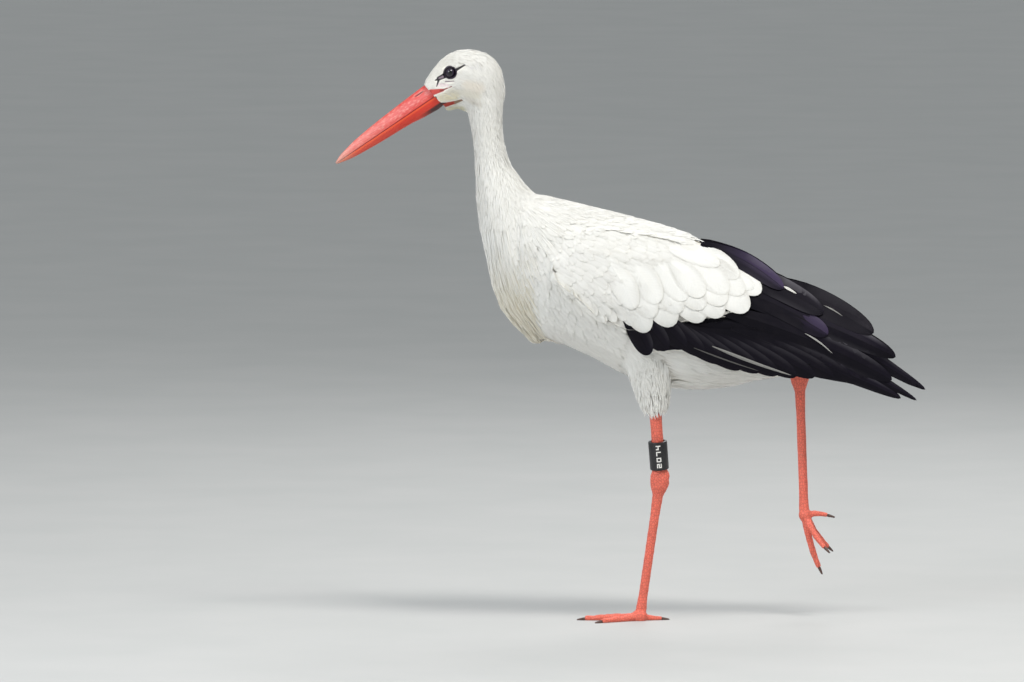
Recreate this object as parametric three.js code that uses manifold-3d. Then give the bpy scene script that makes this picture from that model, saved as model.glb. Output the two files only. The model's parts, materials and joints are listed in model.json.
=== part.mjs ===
// A life-size white stork in mid-stride: it stands on its left foot and swings the right one forward.
// Millimetres, +Z up. The bird faces -X and its left side is -Y. The origin is the middle of the
// standing foot's sole, on the ground.
import * as THREE from "three";
import { mergeVertices } from "three/addons/utils/BufferGeometryUtils.js";
import Module from "manifold-3d";

const wasm = await Module();
wasm.setup();

// ---------------------------------------------------------------- driving dimensions
const GAP = 0.35; // free space between two pieces that meet
const MIDLINE = 3; // the body's mid-plane stands this far to the right of the standing foot
const LEFT = -1;
const RIGHT = 1;

const BILL = { length: 163, tip: [-424, 640.5], slope: 34.3 }; // slope in degrees below level
const EYE = { radius: 8.2, x: -266, z: 767.2, out: 16.4 };

const TARSUS = { depth: 12.4, width: 9.6 };
const SHANK = { depth: 16.6, width: 13 };
const HOCK = { depth: 26, width: 18 };
const BAND = { inner: 9.9, outer: 13.2, height: 40 };

// Each leg's joints in side view, and how far the knee and the hock stand out from the mid-plane.
const STANDING = {
  knee: [4, 427],
  cuff: [21, 300],
  hock: [28.5, 201],
  ankle: [2, 15],
  kneeOut: 50,
  hockOut: 20,
  ankleOut: MIDLINE,
};
const SWINGING = {
  knee: [14, 417],
  cuff: [170, 361],
  hock: [224, 343],
  ankle: [231, 150],
  kneeOut: 52,
  hockOut: 46,
  ankleOut: 44,
};

// ---------------------------------------------------------------- small tools
const SIDEWAYS = new THREE.Vector3(0, 1, 0);
const UPWARD = new THREE.Vector3(0, 0, 1);
const TAILWARD = new THREE.Vector3(1, 0, 0);
const { lerp, clamp, degToRad } = THREE.MathUtils;

/** A smooth function through [position, value] pairs. */
function profile(knots) {
  const places = knots.map((knot) => knot[0]);
  const curve = new THREE.CubicInterpolant(places, knots.map((knot) => knot[1]), 1);
  return (t) => curve.evaluate(clamp(t, places[0], places.at(-1)))[0];
}

/** Evenly spaced numbers from a to b, both included. */
const steps = (a, b, count) => Array.from({ length: count + 1 }, (_, i) => lerp(a, b, i / count));

const signedPower = (v, p) => Math.sign(v) * Math.abs(v) ** p;
const between = (a, b, t) => a.map((v, i) => lerp(v, b[i], t));

/** A closed surface through rings of equally many points, with a fan over each end. */
function loft(rings) {
  const count = rings[0].length;
  const middle = (ring) =>
    ring.reduce((sum, p) => sum.add(p), new THREE.Vector3()).divideScalar(count);
  const points = [...rings.flat(), middle(rings[0]), middle(rings.at(-1))];
  const faces = [];
  for (let start = 0; start < (rings.length - 1) * count; start += count) {
    for (let i = 0; i < count; i++) {
      const a = start + i;
      const b = start + ((i + 1) % count);
      faces.push(a, b, b + count, a, b + count, a + count);
    }
  }
  const last = (rings.length - 1) * count;
  for (let i = 0; i < count; i++) {
    const j = (i + 1) % count;
    faces.push(points.length - 2, j, i, points.length - 1, last + i, last + j);
  }
  const geometry = new THREE.BufferGeometry().setFromPoints(points);
  geometry.setIndex(faces);
  return solid(geometry);
}

/** A geometry as a solid, turned inside out first if its faces point inwards. */
function solid(geometry) {
  const bare = geometry.clone();
  bare.deleteAttribute("normal");
  bare.deleteAttribute("uv");
  const merged = mergeVertices(bare, 1e-3);
  const triVerts = new Uint32Array(merged.index.array);
  const vertProperties = merged.attributes.position.array;
  const build = () => new wasm.Manifold(new wasm.Mesh({ numProp: 3, vertProperties, triVerts }));
  const made = build();
  if (made.volume() > 0) return made;
  for (let i = 0; i < triVerts.length; i += 3) {
    [triVerts[i + 1], triVerts[i + 2]] = [triVerts[i + 2], triVerts[i + 1]];
  }
  return build();
}

/** The largest of a solid's separate bodies. */
function largest(shape) {
  return shape.decompose().reduce((best, body) => (body.volume() > best.volume() ? body : best));
}

const joined = (shapes) => shapes.reduce((all, shape) => all.add(shape));
const without = (shape, ...cutters) =>
  largest(cutters.reduce((rest, cutter) => rest.subtract(cutter), shape));

/** A large block whose near face passes through a point, on the side that a direction points to. */
function halfSpace(point, direction) {
  const size = 2000;
  const turn = new THREE.Quaternion().setFromUnitVectors(UPWARD, direction.clone().normalize());
  const block = new THREE.BoxGeometry(size, size, size).translate(0, 0, size / 2);
  return solid(block.applyQuaternion(turn).translate(point.x, point.y, point.z));
}

/** The part of a solid on the side of a plane that a direction points to, less half a gap. */
function beyond(shape, point, direction) {
  const step = direction.clone().normalize().multiplyScalar(GAP / 2);
  return largest(shape.intersect(halfSpace(point.clone().add(step), direction)));
}

/** The part of a solid on the other side of that plane. */
const before = (shape, point, direction) => beyond(shape, point, direction.clone().negate());

/** A rounded section round a centre, squarer above power 2; its foot may reach down less or more. */
function ovalRing(centre, across, up, halfAcross, halfUp, halfDown, count, power = 2) {
  return Array.from({ length: count }, (_, i) => {
    const angle = ((i + 0.5) / count) * 2 * Math.PI;
    const a = signedPower(Math.cos(angle), 2 / power) * halfAcross;
    const s = signedPower(Math.sin(angle), 2 / power);
    return centre.clone().addScaledVector(across, a).addScaledVector(up, s * (s > 0 ? halfUp : halfDown));
  });
}

/** An oval ring square to the way a limb runs there. */
function limbRing(centre, way, depth, width, count) {
  const across = SIDEWAYS.clone().addScaledVector(way, -SIDEWAYS.dot(way)).normalize();
  return ovalRing(centre, across, way.clone().cross(across), width / 2, depth / 2, depth / 2, count);
}

/** A limb through stations [x, y, z, depth, width]. */
function limb(stations, count = 10) {
  const at = stations.map(([x, y, z]) => new THREE.Vector3(x, y, z));
  const rings = stations.map(([, , , depth, width], i) => {
    const way = at[Math.min(i + 1, at.length - 1)].clone().sub(at[Math.max(i - 1, 0)]).normalize();
    return limbRing(at[i], way, depth, width, count);
  });
  return loft(rings);
}

/** A body through level sections given by their front and back edges and their widths. */
function uprightBody(levels, front, back, width, grow, count) {
  const rings = levels.map((z, i) => {
    const level = z + (i === 0 ? -2 * grow : 0) + (i === levels.length - 1 ? 2 * grow : 0);
    const reach = (back(z) - front(z)) / 2 + grow;
    const centre = new THREE.Vector3((front(z) + back(z)) / 2, MIDLINE, level);
    return ovalRing(centre, SIDEWAYS, TAILWARD, width(z) / 2 + grow, reach, reach, count);
  });
  return loft(rings);
}

// ---------------------------------------------------------------- trunk
const TRUNK = { front: -196, back: 228, power: 2.15 };
const trunkTop = profile([
  [-196, 560], [-184, 584], [-162, 600], [-129, 595], [-100, 588], [-45, 574.5], [22, 558], [73, 541],
  [125, 508], [175, 474], [210, 440], [228, 418],
]);
const trunkBottom = profile([
  [-196, 500], [-184, 446], [-152, 405], [-108, 388], [-59, 366], [-12, 340], [52, 325],
  [116, 326], [168, 338], [210, 347], [228, 366],
]);
const trunkHalf = profile([
  [-196, 24], [-184, 44], [-152, 67], [-100, 81], [-50, 84], [18, 80], [85, 67],
  [130, 54], [175, 41], [210, 29], [228, 18],
]);
const trunkMiddle = (x) => lerp(trunkBottom(x), trunkTop(x), 0.53);

/** How far the trunk's side stands from the mid-plane at a place in side view. */
function trunkSide(x, z) {
  const middle = trunkMiddle(x);
  const reach = z > middle ? trunkTop(x) - middle : middle - trunkBottom(x);
  const share = Math.min(1, Math.abs(z - middle) / reach);
  return trunkHalf(x) * (1 - share ** TRUNK.power) ** (1 / TRUNK.power);
}

function trunkSolid(grow) {
  const stations = steps(TRUNK.front, TRUNK.back, 13);
  const rings = stations.map((x, i) => {
    const middle = trunkMiddle(x);
    const end = (i === 0 ? -grow : 0) + (i === stations.length - 1 ? grow : 0);
    const centre = new THREE.Vector3(x + end, MIDLINE, middle);
    const rise = trunkTop(x) - middle + grow;
    const drop = middle - trunkBottom(x) + grow;
    return ovalRing(centre, SIDEWAYS, UPWARD, trunkHalf(x) + grow, rise, drop, 18, TRUNK.power);
  });
  return loft(rings);
}

// ---------------------------------------------------------------- neck and ruff
// The front and back edges in side view and the width, by height.
const NECK = { low: 552, high: 730 };
const neckFront = profile([
  [552, -206], [600, -226], [623, -229.5], [656, -231], [679, -234], [701, -238], [713, -241], [730, -244],
]);
const neckBack = profile([
  [552, -138], [586, -138], [601, -148], [612, -161], [634, -178], [656, -186], [679, -190.5], [701, -192],
  [730, -190],
]);
const neckWidth = profile([[552, 96], [600, 64], [645, 47], [690, 42], [730, 46]]);

const neckSolid = (grow) =>
  uprightBody(steps(NECK.low, NECK.high, 9), neckFront, neckBack, neckWidth, grow, 14);

// The long plumes that hang from the lower neck over the breast.
const RUFF_LEVELS = [392, 402, 416, 438, 468, 505, 550, 593, 633];
const ruffFront = profile([
  [392, -150], [405, -163], [420, -180], [438, -194], [465, -205], [493, -210.5], [515, -216], [570, -227],
  [633, -229.8],
]);
const ruffBack = profile([
  [392, -140], [405, -130], [438, -122], [493, -122], [553, -128], [593, -146], [633, -176],
]);
const ruffWidth = profile([
  [392, 12], [405, 34], [420, 58], [438, 84], [473, 104], [513, 110], [553, 100], [593, 76], [633, 50],
]);

const ruffSolid = () => uprightBody(RUFF_LEVELS, ruffFront, ruffBack, ruffWidth, 0, 14);

// ---------------------------------------------------------------- head
const headTop = profile([
  [-303, 748], [-298, 758], [-290, 770], [-281, 781.5], [-270, 791.5], [-256, 798], [-240, 800],
  [-224, 798], [-208, 791], [-197, 779], [-192, 768], [-188.5, 748],
]);
const headBottom = profile([
  [-303, 722], [-292, 716], [-280, 713.5], [-264, 714], [-252, 717], [-244, 716], [-236, 706], [-216, 700],
  [-201, 706], [-188.5, 730],
]);
const headWidth = profile([
  [-303, 25], [-292, 30], [-280, 38], [-268, 44.5], [-254, 49.5], [-235, 51], [-215, 46], [-201, 36],
  [-188.5, 14],
]);
const HEAD_STATIONS = [-303, -297, -289, -279, -267, -254, -240, -226, -213, -201, -193, -188.5];

function headSolid() {
  const rings = HEAD_STATIONS.map((x) => {
    const middle = lerp(headBottom(x), headTop(x), 0.54);
    const centre = new THREE.Vector3(x, MIDLINE, middle);
    const rise = headTop(x) - middle;
    return ovalRing(centre, SIDEWAYS, UPWARD, headWidth(x) / 2, rise, middle - headBottom(x), 14, 2.1);
  });
  return loft(rings);
}

function eyeSolid(side, grow) {
  const ball = new THREE.SphereGeometry(EYE.radius + grow, 12, 7);
  return solid(ball.translate(EYE.x, MIDLINE + side * EYE.out, EYE.z));
}

// ---------------------------------------------------------------- bill
const billWay = new THREE.Vector3(Math.cos(degToRad(BILL.slope)), 0, Math.sin(degToRad(BILL.slope)));
const billUp = new THREE.Vector3(-billWay.z, 0, billWay.x);
const billTip = new THREE.Vector3(BILL.tip[0], MIDLINE, BILL.tip[1]);
// Heights above and below the line where the mandibles meet, and half widths, from the tip back.
const culmenRise = profile([
  [0, 1.6], [12, 6.2], [36, 11.3], [57, 13.8], [80, 15.9], [108, 17.6], [130, 18.9], [163, 20.4], [190, 17],
]);
const gonysDrop = profile([
  [0, 1.4], [12, 4.6], [23, 7], [42, 8.9], [61, 10.5], [80, 11.7], [100, 12.4], [119, 13.6], [136, 16.2],
  [161, 18.6], [190, 14],
]);
const billHalf = profile([[0, 1.3], [12, 2.7], [40, 5], [80, 7.4], [130, 10], [163, 11.6], [190, 10]]);

/** One mandible (rise +1 upper, -1 lower), from its tip back to its root in the head. */
function mandible(rise, tipInset, rootLength, grow) {
  const height = rise > 0 ? culmenRise : gonysDrop;
  const slit = grow > 0 ? -0.5 : GAP / 2;
  const arcs = 7;
  const rings = steps(tipInset, BILL.length + rootLength + grow, 9).map((along) => {
    const centre = billTip.clone().addScaledVector(billWay, along);
    return steps(0, Math.PI, arcs).map((angle) => {
      const out = signedPower(Math.cos(angle), 0.8) * (billHalf(along) + grow);
      const up = rise * (slit + (height(along) - slit + grow) * Math.abs(Math.sin(angle)) ** 0.85);
      return centre.clone().addScaledVector(SIDEWAYS, out).addScaledVector(billUp, up);
    });
  });
  return loft(rings);
}

// ---------------------------------------------------------------- folded wings
const wingRidge = profile([
  [-120, 580], [-45, 572], [22, 556], [90, 533], [125, 520], [164, 503], [196, 484], [224, 466],
  [252, 454], [280, 443.5], [308, 429], [322, 417], [336, 403], [364, 374], [378, 355.5], [397, 322],
]);
const wingKeel = profile([
  [-120, 420], [-14, 395], [14, 381], [56, 385], [84, 379.5], [112, 370.5], [140, 362], [168, 355],
  [196, 350], [252, 344], [280, 338.5], [308, 331], [350, 316.5], [397, 306],
]);
const wingSpread = profile([
  [-120, 86], [-80, 92], [-20, 93], [30, 89], [85, 80], [130, 70], [175, 59], [220, 49],
  [270, 37], [320, 25], [360, 17], [397, 11],
]);

/** How far a wing's outer face stands from the mid-plane at a place in side view. */
function wingSide(x, z) {
  const fall = clamp((wingRidge(x) - z) / (wingRidge(x) - wingKeel(x)), 0, 1);
  const roof = 0.06 + 0.94 * Math.sin((Math.PI / 2) * Math.min(1, fall / 0.62)) ** 0.85;
  const tuck = 1 - 0.12 * Math.max(0, (fall - 0.62) / 0.38) ** 2;
  const flank = trunkSide(x, z);
  return Math.max(wingSpread(x) * roof * tuck, flank > 0 ? flank + 5 : 0);
}

/** A sheet along the wing between two edges in side view, thick in its middle and thin at its rims. */
function wingSheet(side, stations, low, high, thickness, lift) {
  const across = 4;
  const rings = stations.map((x) => {
    const points = steps(0, 1, across).map((share) => {
      const z = lerp(low(x), high(x), share);
      const face = wingSide(x, z) + lift;
      const swell = Math.sin(Math.PI * lerp(0.12, 0.88, share)) ** 0.6;
      return { z, outer: face, inner: Math.max(0.6, face - thickness * swell) };
    });
    const point = (out, z) => new THREE.Vector3(x, MIDLINE + side * out, z);
    return [
      ...points.map(({ outer, z }) => point(outer, z)),
      ...points.reverse().map(({ inner, z }) => point(inner, z)),
    ];
  });
  return loft(rings);
}

// The white coverts, a pad from the bend of the wing back to the tertials.
const COVERTS = { front: -124, back: 163, depth: 16 };
const covertsLow = profile([
  [-124, 484], [-108, 472], [-80, 449], [-60, 431], [-40, 416], [-17, 410], [7, 410], [48, 418], [83, 424],
  [112, 429], [148, 436], [163, 456],
]);
const covertsHigh = profile([
  [-124, 508], [-108, 536], [-80, 552], [-50, 555], [-20, 551], [40, 540], [76, 530], [91, 524],
  [125, 500], [148, 482], [163, 470],
]);
// The black greater coverts and secondaries, which come out under the pad.
const SECONDARIES = { front: -17, back: 262, depth: 8, sink: 3.2 };
const secondariesLow = profile([
  [-17, 404], [-8, 389], [8, 382], [30, 382], [56, 385], [84, 379.5], [112, 370.5], [140, 362], [168, 355],
  [196, 351], [235, 349], [262, 358],
]);
const secondariesHigh = profile([
  [-17, 438], [11, 450], [64, 460], [110, 472], [150, 480], [180, 474], [204, 460], [235, 434], [262, 408],
]);

// The stack of tertials that roofs the rump, where the two wings meet: it fills in to the mid-plane.
const ROOF = { front: 84, back: 350, depth: 80, sink: 1.2, reach: 84 };

function covertsSolid(side, grow) {
  const stations = steps(COVERTS.front - grow, COVERTS.back + grow, 8);
  const low = (x) => covertsLow(x) - grow;
  const high = (x) => covertsHigh(x) + grow;
  return wingSheet(side, stations, low, high, COVERTS.depth + 2 * grow, grow);
}

function secondariesSolid(side) {
  const stations = steps(SECONDARIES.front, SECONDARIES.back, 7);
  return wingSheet(side, stations, secondariesLow, secondariesHigh, SECONDARIES.depth, -SECONDARIES.sink);
}

function roofSolid(side) {
  const low = (x) => wingRidge(x) - ROOF.reach * Math.min(1, (ROOF.back + 12 - x) / 80);
  const high = (x) => wingRidge(x) - 3;
  return wingSheet(side, steps(ROOF.front, ROOF.back, 5), low, high, ROOF.depth, -ROOF.sink);
}

/** One long flight feather: root and tip in side view, breadth, how deep it lies, and its bow. */
function vane(side, { root, tip, breadth, sink, bow }) {
  const run = new THREE.Vector2(tip[0] - root[0], tip[1] - root[1]);
  const normal = new THREE.Vector2(-run.y, run.x).normalize();
  const outline = [[0, 0.55], [0.5, 1], [0.82, 0.88], [0.95, 0.5], [1, 0.12]];
  const rings = outline.map(([t, share]) => {
    const centre = new THREE.Vector2(...root).addScaledVector(run, t);
    centre.addScaledVector(normal, bow * Math.sin(Math.PI * t));
    const point = (across, off) => {
      const spot = centre.clone().addScaledVector(normal, (breadth / 2) * share * across);
      const out = Math.max(2.2, wingSide(spot.x, spot.y) - sink) + off;
      return new THREE.Vector3(spot.x, MIDLINE + side * out, spot.y);
    };
    const face = [point(-1, 0.3), point(0.1, 1.2), point(1, 0.3)];
    return [...face, point(1, -0.3), point(-0.1, -1.1), point(-1, -0.3)];
  });
  return loft(rings);
}

const TERTIALS = [
  { root: [84, 512], tip: [196, 463], breadth: 36, sink: 0, bow: 7 },
  { root: [104, 490], tip: [253, 432], breadth: 42, sink: 2, bow: 6 },
  { root: [128, 470], tip: [327, 404], breadth: 46, sink: 4, bow: 11 },
  { root: [140, 446], tip: [357, 367], breadth: 42, sink: 5.4, bow: 4 },
];
const PRIMARIES = [
  { root: [100, 398], tip: [322, 339], breadth: 30, sink: 4.4, bow: -3 },
  { root: [124, 406], tip: [362, 318], breadth: 34, sink: 6, bow: 3 },
  { root: [150, 404], tip: [386, 311], breadth: 26, sink: 6.8, bow: 4 },
  { root: [150, 418], tip: [397, 326], breadth: 32, sink: 7.6, bow: 10 },
];

/** The black part of one folded wing: the secondaries with the long feathers let into them. */
function flightFeathers(side) {
  const vanes = [...TERTIALS, ...PRIMARIES].map((feather) => vane(side, feather));
  return joined([secondariesSolid(side), roofSolid(side), ...vanes]);
}

/** Everything on the far side of the bird's mid-plane, as seen from one wing. */
function otherHalf(side) {
  return halfSpace(new THREE.Vector3(0, MIDLINE + (side * GAP) / 2, 0), new THREE.Vector3(0, -side, 0));
}

// Where the secondaries end and the bunched long feathers start.
const PRIMARY_CUT = new THREE.Vector3(214, MIDLINE, 393);
const PRIMARY_WAY = new THREE.Vector3(1, 0, -0.36);

// ---------------------------------------------------------------- tail
const TAIL_STATIONS = [196, 218, 246, 280, 314, 332, 340];
const tailLevel = profile([[196, 381], [240, 371], [290, 357], [340, 341]]);
const tailThickness = profile([[196, 26], [240, 13], [290, 6], [340, 2.4]]);
const tailBreadth = profile([[196, 34], [240, 42], [290, 40], [322, 30], [340, 14]]);

function tailSolid(grow) {
  const rings = TAIL_STATIONS.map((x, i) => {
    const end = i === TAIL_STATIONS.length - 1 ? grow : 0;
    const half = tailThickness(x) / 2 + grow;
    const centre = new THREE.Vector3(x + end, MIDLINE, tailLevel(x));
    return ovalRing(centre, SIDEWAYS, UPWARD, tailBreadth(x) / 2 + grow, half, half, 10, 2.4);
  });
  return loft(rings);
}

// ---------------------------------------------------------------- legs
/** The joints of one leg in space. */
function legLine(side, leg) {
  const point = ([x, z], out) => [x, MIDLINE + side * out, z];
  const share = (leg.cuff[1] - leg.knee[1]) / (leg.hock[1] - leg.knee[1]);
  return {
    knee: point(leg.knee, leg.kneeOut),
    cuff: point(leg.cuff, lerp(leg.kneeOut, leg.hockOut, share)),
    hock: point(leg.hock, leg.hockOut),
    ankle: point(leg.ankle, leg.ankleOut),
  };
}

/** Stations along a bone, from [share, depth, width] rows. */
const boneStations = (from, to, rows) => rows.map(([t, ...size]) => [...between(from, to, t), ...size]);

const THIGHS = {
  left: [[0, 78, 54], [0.35, 74, 48], [0.65, 61, 39], [0.85, 50, 33], [1, 40, 29]],
  right: [[0, 60, 40], [0.35, 50, 33], [0.65, 38, 27], [0.85, 28, 24], [1, 23, 20]],
};

const grown = (rows, grow) => rows.map(([t, depth, width]) => [t, depth + 2 * grow, width + 2 * grow]);

/** The feathered thigh, from inside the flank to the ragged cuff on the shank. */
function thighSolid(line, rows, grow) {
  return limb(boneStations(line.knee, line.cuff, grown(rows, grow)), 12);
}

/** The bare shank down to the hock's middle. */
function shankSolid(line, grow) {
  const rows = [
    [-0.12, SHANK.depth, SHANK.width],
    [0.84, SHANK.depth, SHANK.width],
    [0.93, HOCK.depth * 0.88, HOCK.width * 0.92],
    [1, HOCK.depth, HOCK.width],
  ];
  return limb(boneStations(line.cuff, line.hock, grown(rows, grow)));
}

/** The tarsus, from the hock's middle down to the foot. */
function tarsusSolid(line, grow) {
  const rows = [
    [0, HOCK.depth, HOCK.width],
    [0.06, HOCK.depth * 0.88, HOCK.width * 0.92],
    [0.13, TARSUS.depth * 1.2, TARSUS.width * 1.15],
    [0.3, TARSUS.depth, TARSUS.width],
    [0.9, TARSUS.depth, TARSUS.width * 1.05],
    [1, TARSUS.depth * 1.2, TARSUS.width * 1.4],
  ];
  return limb(boneStations(line.hock, line.ankle, grown(rows, grow)));
}

// ---------------------------------------------------------------- feet
// A toe's heading is its turn towards the mid-plane; its length leaves out the claw.
const TOES = [
  { name: "inner", heading: 34, length: 57, thick: 10.4 },
  { name: "middle", heading: 2, length: 76, thick: 11.2 },
  { name: "outer", heading: -33, length: 63, thick: 10.6 },
  { name: "hind", heading: 168, length: 31, thick: 9.2 },
];
const STUB = { front: 21, hind: 13.5 }; // where a toe parts from the foot's middle
const CLAW = { length: 11, width: 6.4, depth: 5.2 };

// The swinging foot's toes: how far each leans back from straight down, its spread and its curl.
const DROOP = {
  inner: { lean: 33, spread: 26, curl: 12 },
  middle: { lean: 16, spread: 2, curl: 10 },
  outer: { lean: 36, spread: -24, curl: 12 },
  hind: { lean: 88, spread: 6, curl: -16 },
};

/** A toe's thickness along it: swollen under each joint and thinner towards the claw. */
function toeThickness(toe, along) {
  const joints = toe.name === "hind" ? 2 : 3;
  const share = along / toe.length;
  return toe.thick * (1 + 0.12 * Math.cos(2 * Math.PI * joints * share)) * lerp(1, 0.66, share);
}

/** Sections along a toe between two distances from the knuckle. */
function toeRings(toe, course, from, to, count) {
  return steps(from, to, count).map((along) => {
    const { spot, way } = course(along, toeThickness(toe, along));
    return limbRing(spot, way, toeThickness(toe, along), toeThickness(toe, along), 7);
  });
}

/** Sections along a claw, round at its root and fine at its point. */
function clawRings(toe, course) {
  return [0, 0.4, 0.8, 1].map((t) => {
    const deep = CLAW.depth * (1 - 0.72 * t);
    const { spot, way } = course(toe.length + GAP + CLAW.length * t, deep);
    return limbRing(spot, way, deep, CLAW.width * (1 - 0.72 * t * t), 5);
  });
}

/** A foot in separate pieces; keepUp trims each piece level with the ground, or leaves it be. */
function footPieces(side, knuckle, padSize, courses, keepUp) {
  const pieces = {};
  const pad = new THREE.SphereGeometry(1, 8, 6).scale(...padSize).translate(...knuckle);
  const stubs = [];
  for (const toe of TOES) {
    const course = courses[toe.name];
    const stub = toe.name === "hind" ? STUB.hind : STUB.front;
    const joints = toe.name === "hind" ? 3 : 5;
    stubs.push(keepUp(loft(toeRings(toe, course, 0, stub - GAP, 1))));
    pieces[`toe_${side}_${toe.name}`] = keepUp(loft(toeRings(toe, course, stub, toe.length, joints)));
    pieces[`claw_${side}_${toe.name}`] = keepUp(loft(clawRings(toe, course)));
  }
  pieces[`foot_${side}`] = joined([keepUp(solid(pad)), ...stubs]);
  return pieces;
}

/** The standing foot: toes spread on the ground, level underneath. */
function standingFoot() {
  const ground = halfSpace(new THREE.Vector3(), UPWARD.clone().negate());
  const courses = {};
  for (const toe of TOES) {
    const turn = degToRad(toe.heading);
    const way = new THREE.Vector3(-Math.cos(turn), Math.sin(turn), 0);
    courses[toe.name] = (along, thick) => ({
      spot: way.clone().multiplyScalar(along).setZ(thick * 0.4),
      way,
    });
  }
  return footPieces("left", [0, 0, 5], [12, 11.5, 11], courses, (shape) => shape.subtract(ground));
}

/** The swinging foot: it hangs from its ankle with the toes drooping back and half closed. */
function swingingFoot(ankle) {
  const knuckle = [ankle[0] + 1.5, ankle[1], ankle[2] - 6];
  const courses = {};
  for (const toe of TOES) {
    const pose = DROOP[toe.name];
    const spread = degToRad(-pose.spread);
    const wayAt = (along) => {
      const lean = degToRad(pose.lean + pose.curl * (2 * clamp(along / toe.length, 0, 1) - 1));
      const forward = Math.cos(spread);
      return new THREE.Vector3(Math.sin(lean) * forward, Math.sin(spread), -Math.cos(lean) * forward);
    };
    courses[toe.name] = (along) => {
      const spot = new THREE.Vector3(...knuckle);
      const pieces = 8;
      const walked = steps(0, along, pieces).slice(0, pieces);
      for (const t of walked) spot.addScaledVector(wayAt(t), along / pieces);
      return { spot, way: wayAt(along) };
    };
  }
  return footPieces("right", knuckle, [9.5, 9.5, 10.5], courses, (shape) => shape);
}

/** The identity band: a short tube round the standing leg's shank. */
function bandSolid(line) {
  const centre = between(line.hock, line.cuff, 0.335);
  const way = new THREE.Vector3(...line.cuff).sub(new THREE.Vector3(...line.hock)).normalize();
  const half = BAND.height / 2;
  const rim = 1.2;
  const corners = [
    [BAND.inner, -half], [BAND.outer - rim, -half], [BAND.outer, -half + rim], [BAND.outer, half - rim],
    [BAND.outer - rim, half], [BAND.inner, half], [BAND.inner, -half],
  ];
  const wall = new THREE.LatheGeometry(corners.map(([r, h]) => new THREE.Vector2(r, h)), 18);
  const turn = new THREE.Quaternion().setFromUnitVectors(SIDEWAYS, way);
  return solid(wall.applyQuaternion(turn).translate(...centre));
}

// ---------------------------------------------------------------- assembly
const WHITE_PLUMES = new THREE.MeshStandardMaterial({ color: 0xf0eee8, roughness: 0.85 });
const BLACK_PLUMES = new THREE.MeshStandardMaterial({ color: 0x16141c, roughness: 0.5 });
const RED_HORN = new THREE.MeshStandardMaterial({ color: 0xc8372b, roughness: 0.45 });
const RED_SCALES = new THREE.MeshStandardMaterial({ color: 0xd0503c, roughness: 0.6 });
const DARK_CLAW = new THREE.MeshStandardMaterial({ color: 0x4a3430, roughness: 0.5 });
const EYE_GLOSS = new THREE.MeshStandardMaterial({ color: 0x17120f, roughness: 0.08 });
const BAND_PLASTIC = new THREE.MeshStandardMaterial({ color: 0x1b1c1e, roughness: 0.5 });

const stork = new THREE.Group();

/** Adds one solid to the model as a named mesh. */
function place(name, shape, material) {
  const { vertProperties, triVerts } = shape.getMesh();
  const geometry = new THREE.BufferGeometry();
  geometry.setAttribute("position", new THREE.BufferAttribute(new Float32Array(vertProperties), 3));
  geometry.setIndex(new THREE.BufferAttribute(new Uint32Array(triVerts), 1));
  geometry.computeVertexNormals();
  const mesh = new THREE.Mesh(geometry, material);
  mesh.name = name;
  stork.add(mesh);
}

// Head, neck and trunk are one body, parted by thin plane cuts.
const NAPE_CUT = new THREE.Vector3(-220, MIDLINE, 709);
const NAPE_WAY = new THREE.Vector3(-0.42, 0, 1);
const MID_NECK_CUT = new THREE.Vector3(-205, MIDLINE, 633);
const NECK_ROOT_CUT = new THREE.Vector3(-182, MIDLINE, 565);
const NECK_ROOT_WAY = new THREE.Vector3(-0.66, 0, 0.75);
const FACE_CUT = new THREE.Vector3(-292, MIDLINE, 740); // where the face's feathers meet the bill
const FACE_WAY = new THREE.Vector3(1, 0, 0.9);

const skull = headSolid().add(neckSolid(0));
const neckWhole = before(skull, NAPE_CUT, NAPE_WAY);
const neckUpper = beyond(neckWhole, MID_NECK_CUT, UPWARD);
const body = before(neckWhole, MID_NECK_CUT, UPWARD).add(trunkSolid(0));
const trunkClear = trunkSolid(GAP);

const billRoot = [mandible(1, 60, 12, GAP), mandible(-1, 60, 16, GAP)];
const eyeSockets = [eyeSolid(LEFT, GAP), eyeSolid(RIGHT, GAP)];
const headWhole = beyond(beyond(skull, NAPE_CUT, NAPE_WAY), FACE_CUT, FACE_WAY);
place("head", without(headWhole, ...billRoot, ...eyeSockets), WHITE_PLUMES);
place("bill_upper", mandible(1, 0, 12, 0), RED_HORN);
place("bill_lower", mandible(-1, 1.5, 16, 0), RED_HORN);
place("neck_upper", neckUpper, WHITE_PLUMES);
place("neck_lower", beyond(body, NECK_ROOT_CUT, NECK_ROOT_WAY), WHITE_PLUMES);
place("ruff", without(ruffSolid(), trunkClear, neckSolid(GAP)), WHITE_PLUMES);
place("trunk", before(body, NECK_ROOT_CUT, NECK_ROOT_WAY), WHITE_PLUMES);
place("tail", without(tailSolid(0), trunkClear), WHITE_PLUMES);

const lines = { left: legLine(LEFT, STANDING), right: legLine(RIGHT, SWINGING) };
const feet = { left: standingFoot(), right: swingingFoot(lines.right.ankle) };

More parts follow.
